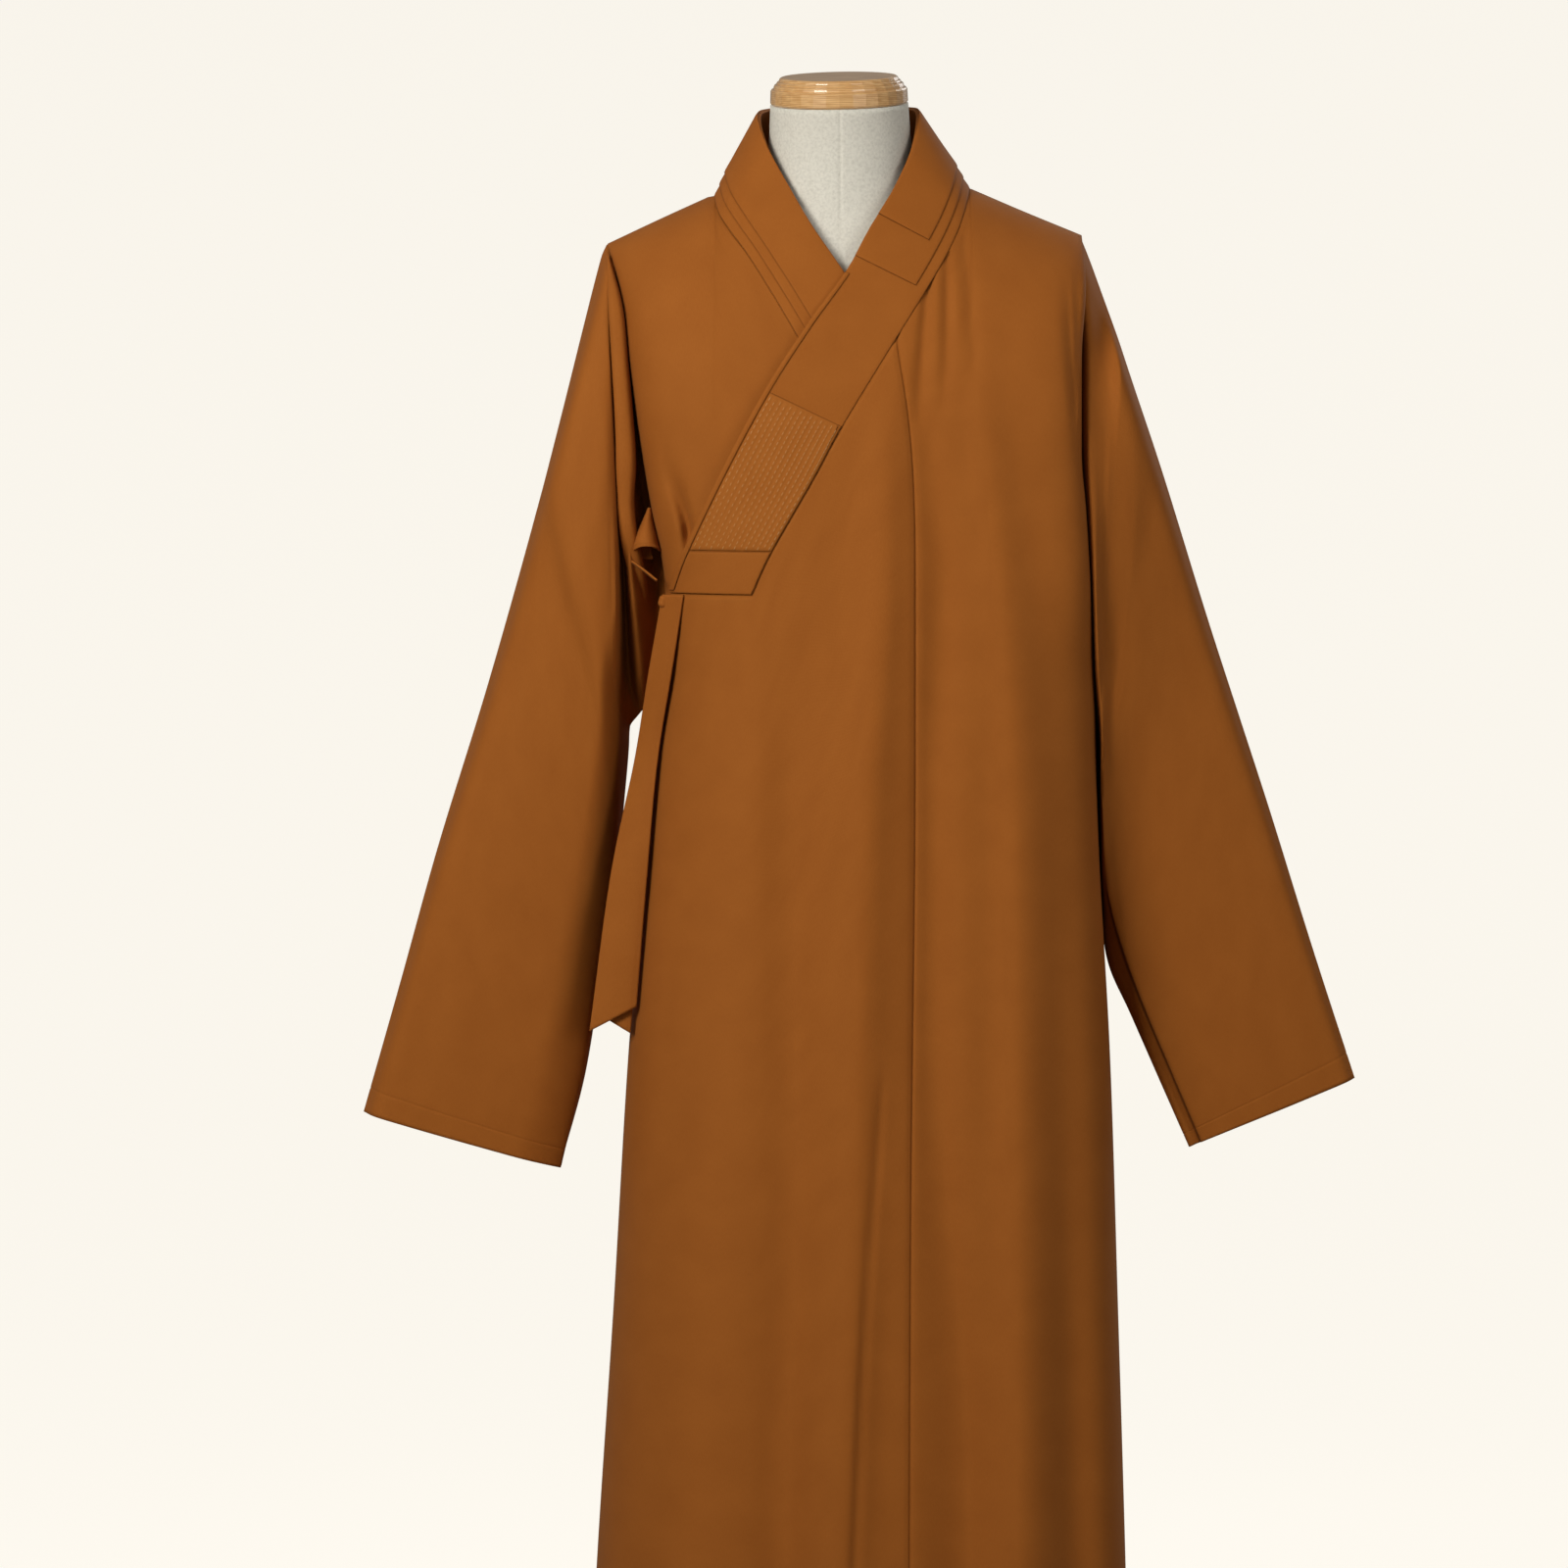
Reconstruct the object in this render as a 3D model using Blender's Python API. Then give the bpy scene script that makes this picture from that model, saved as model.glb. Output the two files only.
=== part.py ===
"""A Buddhist monk's long robe, crossed left over right and tied at the side, on a limbless
linen dress form that stands on a pole and a round foot.

Metres, +Z up. The robe faces -Y and its wearer's left is +X. The origin is the middle of the
foot's underside. Each cloth piece is a thin wall worked out on a grid: u runs across the
piece and v runs up it, or along it on the neckband and the ribbons.
"""

import bmesh
import bpy
import numpy as np

CLOTH = 0.0016
BAND_CLOTH = 0.0020
LAYER_CLOTH = 0.0012
RIBBON_CLOTH = 0.0016
GAP = 0.0003
SEAM_GAP = 0.0009
SEAM_NUDGE = 0.00025
UNDERLAP = 0.0080
SIDE_UNDERLAP = 0.0070
SIDE_UNDERLAP_HEIGHTS = (1.13, 1.19)

HEM = 0.150
SHOULDER_ROLL_START = 1.280
SHOULDER_Y = 0.010
ROLL_SHARE = 0.72
BAND_END = 1.138

NORMAL_STEP = 0.002
TURNED_SIDES = 32
NECK_LEAN = np.radians(7.3)
NECK_ROLL = np.radians(1.2)
NECK_PIVOT = 1.530
NECK_LEAN_START = 1.492
NECK_TOP = 1.5695

# The top of each column of a panel is found by rounds from a first guess.
FIRST_TOP_GUESS = 1.40
TOP_ROUNDS = 8

LINEN = ("linen", (0.62, 0.59, 0.50, 1.0), 0.90, 0.0)
TURNED_WOOD = ("turned_wood", (0.56, 0.33, 0.15, 1.0), 0.40, 0.0)
OCHRE = ("ochre_cloth", (0.27, 0.083, 0.018, 1.0), 0.80, 0.0)
STITCHED = ("stitched_cloth", (0.29, 0.095, 0.022, 1.0), 0.80, 0.0)
DARK_STEEL = ("dark_steel", (0.10, 0.10, 0.11, 1.0), 0.45, 0.9)


def table(names, *rows):
    """Rows of numbers as a dictionary of columns by name."""
    return dict(zip(names.split(), np.array(rows, dtype=float).T))


def read(columns, name, at):
    """One column of a table at the given keys, on a smooth cubic through its rows.

    The cubic is level past the ends and never swings beyond the rows beside it.
    """
    knots = next(iter(columns.values()))
    values = columns[name]
    rises = np.diff(values) / np.diff(knots)
    slopes = np.gradient(values, knots)
    slopes[1:-1] *= rises[1:] * rises[:-1] > 0.0
    steepest = 3.0 * np.minimum(
        np.abs(np.append(rises, rises[-1])), np.abs(np.insert(rises, 0, rises[0]))
    )
    slopes = np.clip(slopes, -steepest, steepest)
    at = np.clip(at, knots[0], knots[-1])
    i = np.clip(np.searchsorted(knots, at, side="right") - 1, 0, len(knots) - 2)
    span = knots[i + 1] - knots[i]
    t = (at - knots[i]) / span
    rise = t * t * (3.0 - 2.0 * t)
    bend = span * t * (1.0 - t) * (slopes[i] * (1.0 - t) - slopes[i + 1] * t)
    return values[i] * (1.0 - rise) + values[i + 1] * rise + bend


def smooth(start, end, at):
    """Soft step from 0 at start to 1 at end."""
    t = np.clip((at - start) / (end - start), 0.0, 1.0)
    return t * t * (3.0 - 2.0 * t)


def squared(value, power):
    """A sine or cosine raised to a power with its sign kept: below 1 it squares an ellipse."""
    return np.sign(value) * np.abs(value) ** power


# Half outlines of the robe's body at its heights: the right and left edges, how far the front
# and the back lie, where the sides of front and back meet or part, and how square it is.
BODY = table(
    "height right left front back front_side back_side square",
    (0.150, -0.2230, 0.2560, -0.186, 0.172, 0.000, 0.000, 0.80),
    (0.270, -0.2166, 0.2530, -0.182, 0.168, 0.000, 0.000, 0.80),
    (0.500, -0.2015, 0.2460, -0.172, 0.158, 0.000, 0.000, 0.80),
    (0.740, -0.1870, 0.2380, -0.161, 0.146, 0.000, 0.000, 0.80),
    (0.930, -0.1710, 0.2275, -0.152, 0.134, 0.000, 0.000, 0.78),
    (1.050, -0.1600, 0.2245, -0.146, 0.126, 0.000, 0.000, 0.74),
    (1.139, -0.1545, 0.2200, -0.141, 0.122, -0.024, 0.024, 0.68),
    (1.212, -0.1665, 0.2150, -0.137, 0.120, -0.034, 0.034, 0.66),
    (1.262, -0.1750, 0.2110, -0.134, 0.118, -0.036, 0.036, 0.66),
    (1.346, -0.1870, 0.2115, -0.128, 0.115, -0.034, 0.036, 0.68),
    (1.412, -0.1960, 0.2160, -0.124, 0.112, -0.032, 0.036, 0.72),
    (1.450, -0.2070, 0.2140, -0.122, 0.110, -0.030, 0.034, 0.76),
)

# The line of the shoulders from the wearer's right to left, as if it rose on to the middle.
RIDGE = table(
    "across height",
    (-0.207, 1.4460),
    (-0.158, 1.4690),
    (-0.110, 1.4886),
    (0.000, 1.5400),
    (0.1145, 1.4956),
    (0.158, 1.4770),
    (0.214, 1.4540),
)

# Long soft folds: where each lies across the hem and at its top, how high that is, half its
# width at the hem and how far it stands out (or in) there.
FRONT_FOLDS = table(
    "hem_x top_x top half_width stand",
    (-0.150, -0.110, 1.05, 0.045, 0.007),
    (-0.070, -0.045, 1.10, 0.034, -0.010),
    (-0.008, 0.018, 1.30, 0.030, 0.010),
    (0.088, 0.085, 1.34, 0.026, -0.012),
    (0.152, 0.117, 1.40, 0.034, 0.014),
    (0.205, 0.180, 1.20, 0.028, -0.014),
)
BACK_FOLDS = table(
    "hem_x top_x top half_width stand",
    (-0.165, -0.120, 1.15, 0.034, 0.014),
    (-0.105, -0.085, 1.25, 0.030, -0.012),
    (-0.048, -0.040, 1.30, 0.030, 0.012),
    (0.040, 0.030, 1.22, 0.028, -0.010),
    (0.095, 0.075, 1.30, 0.032, 0.013),
    (0.155, 0.120, 1.18, 0.028, -0.013),
    (0.205, 0.160, 1.10, 0.030, 0.012),
)


def fold_stand(folds, x, height):
    """Sum of the folds: each is a cosine hump across, narrowing and dying out towards its top."""
    total = np.zeros_like(x)
    for hem_x, top_x, top, half_width, stand in zip(*folds.values()):
        climb = np.clip((height - HEM) / (top - HEM), 0.0, 1.0)
        centre = hem_x + (top_x - hem_x) * climb
        width = half_width * (1.0 - 0.35 * climb)
        across = np.clip(np.abs(x - centre) / width, 0.0, 1.0)
        total += stand * (1.0 - smooth(0.1, 1.0, climb)) * (0.5 + 0.5 * np.cos(np.pi * across))
    return total


def body_edges(height, underlap):
    """Right and left edge of the body; the pieces under the overlap are narrower on the right."""
    covered = 1.0 - smooth(*SIDE_UNDERLAP_HEIGHTS, height)
    right = read(BODY, "right", height) + SIDE_UNDERLAP * underlap * covered
    return right, read(BODY, "left", height)


def body_cloth(sine, cosine, height, face, underlap):
    """Squared half ellipse of the front (face -1) or the back (face 1), with its folds.

    underlap is 0 on the outer shell and 1 on what lies under the overlap.
    """
    right, left = body_edges(height, underlap)
    power = read(BODY, "square", height)
    x = (right + left) / 2 + (left - right) / 2 * squared(sine, power)
    name, folds = ("front", FRONT_FOLDS) if face < 0 else ("back", BACK_FOLDS)
    reach = read(BODY, name, height) + face * fold_stand(folds, x, height)
    if face < 0:
        reach = reach + UNDERLAP * underlap
    side = read(BODY, name + "_side", height) + face * GAP / 2
    return x, side + (reach - side) * squared(cosine, power)


def turn_at(x, height, underlap):
    """The turn round the body, from -90 to 90 degrees, at which its cloth lies at a given x."""
    right, left = body_edges(height, underlap)
    share = np.clip((x - (right + left) / 2) / ((left - right) / 2), -1.0, 1.0)
    return np.arcsin(squared(share, 1.0 / read(BODY, "square", height)))


def chest_y(x, height, face, underlap):
    """How far forward or back the cloth lies at a place, where it rolls over the shoulder too."""
    turn = turn_at(x, height, underlap)
    flat_y = body_cloth(np.sin(turn), np.cos(turn), height, face, underlap)[1]
    ridge = read(RIDGE, "height", x)
    climb = np.clip((height - SHOULDER_ROLL_START) / (ridge - SHOULDER_ROLL_START), 0.0, 1.0)
    shoulder = SHOULDER_Y + face * GAP / 2
    return shoulder + (flat_y - shoulder) * np.sqrt(1.0 - climb * climb)


# The neckband, from the lower end of the crossing band, up over the wearer's left shoulder,
# round the neck and down the right side under the band. seam is its sewn edge, edge its free
# one; chest is how far the free edge keeps to the chest's form.
NECKBAND = table(
    "station seam_x seam_z edge_x edge_y edge_z chest underlap",
    (0.0, -0.0770, 1.1380, -0.1500, -0.100, 1.1390, 1.0, 0.0),
    (1.0, -0.0600, 1.1750, -0.1365, -0.100, 1.1760, 1.0, 0.0),
    (2.0, -0.0250, 1.2360, -0.1020, -0.100, 1.2490, 1.0, 0.0),
    (3.0, 0.0010, 1.2840, -0.0660, -0.110, 1.3160, 1.0, 0.0),
    (4.0, 0.0350, 1.3400, -0.0300, -0.110, 1.3720, 1.0, 0.0),
    (5.0, 0.0650, 1.3880, 0.0040, -0.110, 1.4190, 1.0, 0.0),
    (6.0, 0.0880, 1.4260, 0.0250, -0.084, 1.4570, 0.8, 0.0),
    (7.0, 0.1020, 1.4540, 0.0460, -0.060, 1.4920, 0.3, 0.0),
    (8.0, 0.1095, 1.4750, 0.0620, -0.034, 1.5280, 0.0, 0.0),
    (9.0, 0.1145, 1.4950, 0.0680, 0.002, 1.5600, 0.0, 0.0),
    (10.0, 0.0930, 1.4930, 0.0570, 0.048, 1.5680, 0.0, 0.0),
    (11.0, 0.0500, 1.4900, 0.0300, 0.071, 1.5720, 0.0, 0.0),
    (12.0, 0.0000, 1.4890, 0.0000, 0.079, 1.5730, 0.0, 0.0),
    (13.0, -0.0500, 1.4890, -0.0300, 0.071, 1.5720, 0.0, 0.0),
    (14.0, -0.0920, 1.4900, -0.0580, 0.048, 1.5670, 0.0, 0.0),
    (15.0, -0.1110, 1.4880, -0.0710, 0.002, 1.5580, 0.0, 0.0),
    (16.0, -0.1070, 1.4720, -0.0630, -0.034, 1.5290, 0.0, 0.1),
    (17.0, -0.0970, 1.4560, -0.0440, -0.060, 1.4930, 0.3, 0.5),
    (18.0, -0.0790, 1.4310, -0.0240, -0.084, 1.4580, 0.8, 1.0),
    (19.0, -0.0520, 1.3870, 0.0030, -0.110, 1.4180, 1.0, 1.0),
    (20.0, -0.0250, 1.3400, 0.0320, -0.110, 1.3720, 1.0, 1.0),
    (21.0, 0.0030, 1.2900, 0.0600, -0.110, 1.3220, 1.0, 1.0),
)
LEFT_SHOULDER_STATION = 9.0
RIGHT_SHOULDER_STATION = 15.0
BAND_LAST_STATION = 21.0


def neckband(along, across):
    """Point of the neckband: along in stations, across from 0 at its seam to 1 at its free edge."""
    seam_x, seam_z = read(NECKBAND, "seam_x", along), read(NECKBAND, "seam_z", along)
    edge_x, edge_z = read(NECKBAND, "edge_x", along), read(NECKBAND, "edge_z", along)
    behind = (along >= LEFT_SHOULDER_STATION) & (along <= RIGHT_SHOULDER_STATION)
    underlap = read(NECKBAND, "underlap", along)
    seam_y = np.where(
        behind, chest_y(seam_x, seam_z, 1, 0.0), chest_y(seam_x, seam_z, -1, underlap)
    )
    x = seam_x + (edge_x - seam_x) * across
    z = seam_z + (edge_z - seam_z) * across
    chest = read(NECKBAND, "chest", along)
    free_y = seam_y + (read(NECKBAND, "edge_y", along) - seam_y) * across
    y = chest * chest_y(x, z, -1, underlap) + (1.0 - chest) * free_y
    return np.stack([x, y, z], axis=-1)


def seam_height(x, first, last, samples=400):
    """Height at which a panel meets the neckband's seam at a given x, between two stations."""
    along = np.linspace(first, last, samples)
    seam_x = read(NECKBAND, "seam_x", along)
    order = np.argsort(seam_x)
    return np.interp(x, seam_x[order], read(NECKBAND, "seam_z", along)[order])


# Lines down the body that the grids of its panels follow, by height.
GUIDES = table(
    "height centre left_neck band_corner right_neck under_edge back_left_neck back_right_neck",
    (0.150, 0.059, 0.165, -0.080, -0.140, 0.040, 0.1200, -0.115),
    (0.600, 0.061, 0.150, -0.078, -0.130, 0.030, 0.1180, -0.114),
    (1.000, 0.065, 0.138, -0.077, -0.120, 0.012, 0.1160, -0.113),
    (1.135, 0.065, 0.132, -0.077, -0.117, 0.002, 0.1160, -0.113),
    (1.290, 0.059, 0.124, -0.077, -0.114, -0.003, 0.1160, -0.113),
    (1.362, 0.048, 0.120, -0.077, -0.113, -0.003, 0.1160, -0.113),
    (1.496, 0.030, 0.1165, -0.077, -0.113, -0.003, 0.1165, -0.113),
)
RIGHT_SIDE, LEFT_SIDE = -np.pi / 2, np.pi / 2


def overlap_side(height):
    """Turn of the overlap's free edge: it ends just short of the right side."""
    return np.radians(-86.0 + 14.0 * smooth(0.95, 1.12, height))


def at_side(turn):
    """Guide at one turn all the way up."""
    return lambda height, underlap: turn + 0.0 * height


def at_free_edge(height, underlap):
    """Guide along the overlap's free edge."""
    return overlap_side(height)


def at_line(name, nudge=0.0):
    """Guide along a named line, moved sideways by a nudge."""
    return lambda height, underlap: turn_at(read(GUIDES, name, height) + nudge, height, underlap)


def at_back_seam(nudge):
    """Guide along the middle of the back, moved sideways by a nudge."""
    return lambda height, underlap: turn_at(nudge + 0.0 * height, height, underlap)


def spread(share, guide_turns, guide_shares):
    """Turn at a share across a panel, straight between its guide lines and on past its edges."""
    turn = guide_turns[0]
    last = len(guide_turns) - 2
    for i in range(last + 1):
        part = (share - guide_shares[i]) / (guide_shares[i + 1] - guide_shares[i])
        part = part if i == 0 else np.maximum(part, 0.0)
        part = part if i == last else np.minimum(part, 1.0)
        turn = turn + (guide_turns[i + 1] - guide_turns[i]) * part
    return turn


def panel(face, guides, shares, top, underlap, rolls):
    """Surface function of a body panel.

    The guides lie at the given shares of the panel's width. Each column climbs from the hem to
    its own top. Where it rolls, its rows follow the shoulder's quarter ellipse by equal swings.
    """
    shoulder = SHOULDER_Y + face * GAP / 2

    def turn(u, height):
        return spread(u, [guide(height, underlap) for guide in guides], shares)

    def column(u):
        height = np.full_like(u, FIRST_TOP_GUESS)
        for _ in range(TOP_ROUNDS):
            angle = turn(u, height)
            x = body_cloth(np.sin(angle), np.cos(angle), height, face, underlap)[0]
            height = top(x)
        return height, read(RIDGE, "height", x)

    def surface(u, v):
        column_top, ridge = column(u)
        roll = ridge - SHOULDER_ROLL_START
        if rolls:
            end = np.arcsin(np.clip((column_top - SHOULDER_ROLL_START) / roll, 0.0, 1.0))
            swing = end * np.maximum(v - ROLL_SHARE, 0.0) / (1.0 - ROLL_SHARE)
            straight = (SHOULDER_ROLL_START - HEM) * np.minimum(v / ROLL_SHARE, 1.0)
            height = HEM + straight + roll * np.sin(swing)
            keep = np.cos(swing)
        else:
            height = HEM + (column_top - HEM) * v
            climb = np.clip((height - SHOULDER_ROLL_START) / roll, 0.0, 1.0)
            keep = np.sqrt(1.0 - climb**2)
        angle = turn(u, height)
        x, y = body_cloth(np.sin(angle), np.cos(angle), height, face, underlap)
        return np.stack([x, shoulder + (y - shoulder) * keep, height], axis=-1)

    return surface


def ridge_or_seam(first, last):
    """Top of a panel: the shoulder line, or just outside the neckband's seam where that is lower."""

    def top(x):
        nearer = x - np.sign(x) * SEAM_GAP if first > 0.0 else x - SEAM_GAP
        return np.minimum(read(RIDGE, "height", x), seam_height(nearer, first, last) - SEAM_GAP)

    return top


def overlap_top(x):
    """Top of the overlap: along the band's seam, and level under the band's lower end."""
    return np.maximum(seam_height(x - SEAM_GAP, 0.0, 5.0), BAND_END) - SEAM_GAP


# Half a sleeve's sections, from its root to its cuff: the folded outer edge, the seamed inner
# edge, and how far the cloth stands forward and back between them.
RIGHT_SLEEVE = table(
    "along outer_x outer_z inner_x inner_z front back",
    (0.00, -0.2070, 1.4460, -0.1600, 1.0500, 0.034, 0.036),
    (0.12, -0.2380, 1.3290, -0.1830, 1.0280, 0.060, 0.056),
    (0.30, -0.2700, 1.2060, -0.1910, 0.9700, 0.058, 0.052),
    (0.50, -0.3130, 1.0540, -0.1980, 0.8900, 0.048, 0.044),
    (0.70, -0.3590, 0.9050, -0.2080, 0.7900, 0.040, 0.036),
    (0.85, -0.3910, 0.7900, -0.2240, 0.7120, 0.034, 0.030),
    (1.00, -0.4235, 0.6760, -0.2490, 0.6250, 0.028, 0.024),
)
LEFT_SLEEVE = table(
    "along outer_x outer_z inner_x inner_z front back",
    (0.00, 0.2140, 1.4540, 0.2245, 1.0500, 0.034, 0.036),
    (0.12, 0.2480, 1.3520, 0.2320, 0.9900, 0.046, 0.052),
    (0.30, 0.2840, 1.2450, 0.2340, 0.9200, 0.046, 0.050),
    (0.50, 0.3290, 1.1020, 0.2400, 0.8450, 0.042, 0.042),
    (0.70, 0.3780, 0.9530, 0.2620, 0.7670, 0.036, 0.036),
    (0.85, 0.4180, 0.8260, 0.2870, 0.7070, 0.032, 0.030),
    (1.00, 0.4570, 0.7070, 0.3115, 0.6460, 0.028, 0.024),
)
SLEEVE_BLEND_END = 0.30
SLEEVE_ROUNDNESS = 0.75
SLEEVE_ROOT_GAP = CLOTH + 4 * GAP


def sleeve(columns, side):
    """Surface function of a sleeve: lens sections that open out of the armhole's own loop."""

    def armhole(swing):
        share = (1.0 - np.cos(swing)) / 2
        outer_z, inner_z = columns["outer_z"][0], columns["inner_z"][0]
        height = outer_z + (inner_z - outer_z) * share
        face = np.where(np.sin(swing) >= 0.0, -1, 1)
        edge = read(BODY, "left" if side > 0 else "right", height) + side * SLEEVE_ROOT_GAP
        climb = np.clip((height - SHOULDER_ROLL_START) / (outer_z - SHOULDER_ROLL_START), 0.0, 1.0)
        flat_y = np.where(
            face < 0, read(BODY, "front_side", height), read(BODY, "back_side", height)
        )
        y = SHOULDER_Y + (flat_y - SHOULDER_Y) * np.sqrt(1.0 - climb * climb)
        return np.stack([edge, y, height], axis=-1)

    def chord(along, share):
        outer = [read(columns, "outer_x", along), read(columns, "outer_z", along)]
        inner = [read(columns, "inner_x", along), read(columns, "inner_z", along)]
        return [o + (i - o) * share for o, i in zip(outer, inner)]

    def surface(u, v):
        swing = 2.0 * np.pi * u
        share = (1.0 - np.cos(swing)) / 2
        x, z = chord(v, share)
        stand = np.where(np.sin(swing) >= 0.0, -read(columns, "front", v), read(columns, "back", v))
        y = SHOULDER_Y * (1.0 - v) + stand * np.abs(np.sin(swing)) ** SLEEVE_ROUNDNESS
        lens = np.stack([x, y, z], axis=-1)
        root_x, root_z = chord(0.0 * v, share)
        shift = np.stack([x - root_x, 0.0 * x, z - root_z], axis=-1)
        from_root = armhole(swing) + shift
        blend = smooth(0.0, SLEEVE_BLEND_END, v)[..., None]
        return from_root * (1.0 - blend) + lens * blend

    return surface


# The tie's ribbons and the short strap behind their knot: the two edges of each, along it.
FRONT_RIBBON = table(
    "along outer_x outer_z inner_x inner_z outer_y inner_y",
    (0.00, -0.1570, 1.1290, -0.1390, 1.1330, -0.084, -0.105),
    (0.18, -0.1680, 1.0700, -0.1480, 1.0700, -0.068, -0.086),
    (0.40, -0.1800, 0.9960, -0.1600, 0.9960, -0.056, -0.068),
    (0.70, -0.2020, 0.8900, -0.1700, 0.8900, -0.058, -0.068),
    (1.00, -0.2210, 0.7520, -0.1795, 0.7740, -0.060, -0.066),
)
BACK_RIBBON = table(
    "along outer_x outer_z inner_x inner_z outer_y inner_y",
    (0.00, -0.1560, 1.1180, -0.1430, 1.1220, -0.078, -0.096),
    (0.18, -0.1650, 1.0700, -0.1490, 1.0700, -0.061, -0.078),
    (0.40, -0.1760, 0.9960, -0.1610, 0.9960, -0.050, -0.060),
    (0.70, -0.1950, 0.8900, -0.1720, 0.8900, -0.051, -0.060),
    (1.00, -0.2100, 0.7650, -0.1850, 0.7500, -0.053, -0.059),
)
TIE_STRAP = table(
    "along outer_x outer_z inner_x inner_z outer_y inner_y",
    (0.00, -0.1835, 1.1655, -0.1835, 1.1665, -0.066, -0.077),
    (0.50, -0.1720, 1.1575, -0.1720, 1.1585, -0.071, -0.082),
    (1.00, -0.1610, 1.1490, -0.1610, 1.1500, -0.075, -0.086),
)
TIE_KNOT_CENTRE = (-0.1575, -0.0960, 1.1310)
TIE_KNOT_RADII = (0.0046, 0.0045, 0.0060)


def ribbon(columns):
    """Surface function of a hanging ribbon: straight across between its two edges."""

    def surface(u, v):
        point = []
        for axis in ("x", "y", "z"):
            outer, inner = read(columns, "outer_" + axis, v), read(columns, "inner_" + axis, v)
            point.append(outer + (inner - outer) * u)
        return np.stack(point, axis=-1)

    return surface


def normals(surface, u, v):
    """Unit normals of a surface function, from points a small step to each side.

    They are read just short of the far edge, because a shoulder's outer corner has none.
    """
    step = NORMAL_STEP
    v = np.minimum(v, v.max() - 2.0 * step)
    across = surface(u + step, v) - surface(u - step, v)
    along = surface(u, v + step) - surface(u, v - step)
    normal = np.cross(across, along)
    return normal / np.linalg.norm(normal, axis=-1, keepdims=True)


def finish(name, mesh, material):
    """Put a closed mesh in the scene as a named object with its own material."""
    label, colour, roughness, metallic = material
    bm = bmesh.new()
    bm.from_mesh(mesh)
    bmesh.ops.triangulate(bm, faces=bm.faces)
    bmesh.ops.recalc_face_normals(bm, faces=bm.faces)
    if bm.calc_volume(signed=True) < 0.0:
        bmesh.ops.reverse_faces(bm, faces=bm.faces)
    bm.to_mesh(mesh)
    bm.free()
    mesh.shade_smooth()
    finish_material = bpy.data.materials.new(name + "_" + label)
    finish_material.use_nodes = True
    shader = finish_material.node_tree.nodes["Principled BSDF"]
    shader.inputs["Base Color"].default_value = colour
    shader.inputs["Roughness"].default_value = roughness
    shader.inputs["Metallic"].default_value = metallic
    mesh.materials.append(finish_material)
    piece = bpy.data.objects.new(name, mesh)
    bpy.context.scene.collection.objects.link(piece)
    return piece


def wall(name, surface, u_shares, v_shares, thickness, material, lift=0.0, closed=False):
    """Thin wall on a surface: its points moved out and in by half its thickness, with rims.

    lift moves the whole wall along its outward normals. A closed wall joins its last column
    to its first, as a sleeve does.
    """
    u, v = np.meshgrid(u_shares, v_shares, indexing="ij")
    centre = surface(u, v)
    normal = normals(surface, u, v)
    outer = centre + normal * (lift + thickness / 2)
    inner = centre + normal * (lift - thickness / 2)
    columns, rows = u.shape
    points = np.concatenate([outer.reshape(-1, 3), inner.reshape(-1, 3)])
    index = np.arange(columns * rows).reshape(columns, rows)
    under = index + columns * rows
    following = np.roll(index, -1, axis=0) if closed else index[1:]
    following_under = np.roll(under, -1, axis=0) if closed else under[1:]
    here = index if closed else index[:-1]
    here_under = under if closed else under[:-1]

    def quads(a, b, c, d):
        return np.stack([a, b, c, d], axis=-1).reshape(-1, 4)

    faces = [
        quads(here[:, :-1], following[:, :-1], following[:, 1:], here[:, 1:]),
        quads(here_under[:, 1:], following_under[:, 1:], following_under[:, :-1], here_under[:, :-1]),
        quads(here[:, 0], here_under[:, 0], following_under[:, 0], following[:, 0]),
        quads(following[:, -1], following_under[:, -1], here_under[:, -1], here[:, -1]),
    ]
    if not closed:
        faces.append(quads(index[0, :-1], index[0, 1:], under[0, 1:], under[0, :-1]))
        faces.append(quads(index[-1, 1:], index[-1, :-1], under[-1, :-1], under[-1, 1:]))
    mesh = bpy.data.meshes.new(name)
    mesh.from_pydata(points.tolist(), [], np.concatenate(faces).tolist())
    return finish(name, mesh, material)


def leaned(points):
    """The neck's lean: forward about X and sideways about Y, from none below to all at its top."""
    share = smooth(NECK_LEAN_START, NECK_TOP, points[..., 2])
    rise = points[..., 2] - NECK_PIVOT
    forward, aside = NECK_LEAN * share, NECK_ROLL * share
    y = points[..., 1] * np.cos(forward) - rise * np.sin(forward)
    rise = points[..., 1] * np.sin(forward) + rise * np.cos(forward)
    x = points[..., 0] * np.cos(aside) - rise * np.sin(aside)
    rise = points[..., 0] * np.sin(aside) + rise * np.cos(aside)
    return np.stack([x, y, NECK_PIVOT + rise], axis=-1)


def turned(name, rings, material, sides=TURNED_SIDES):
    """Closed solid of rings: columns are height, half width, and front and back reach."""
    swing = 2.0 * np.pi * np.arange(sides) / sides
    points = []
    for height, half_width, front, back in zip(*rings.values()):
        x = half_width * np.sin(swing)
        y = np.where(np.cos(swing) > 0.0, front, back) * np.abs(np.cos(swing))
        points.append(np.stack([x, y, np.full(sides, height)], axis=-1))
    points = leaned(np.concatenate(points))
    count = len(rings["height"])
    index = np.arange(count * sides).reshape(count, sides)
    after = np.roll(index, -1, axis=1)
    quads = np.stack([index[:-1], after[:-1], after[1:], index[1:]], axis=-1).reshape(-1, 4)
    faces = quads.tolist() + [index[0][::-1].tolist(), index[-1].tolist()]
    mesh = bpy.data.meshes.new(name)
    mesh.from_pydata(points.tolist(), [], faces)
    return finish(name, mesh, material)


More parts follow.
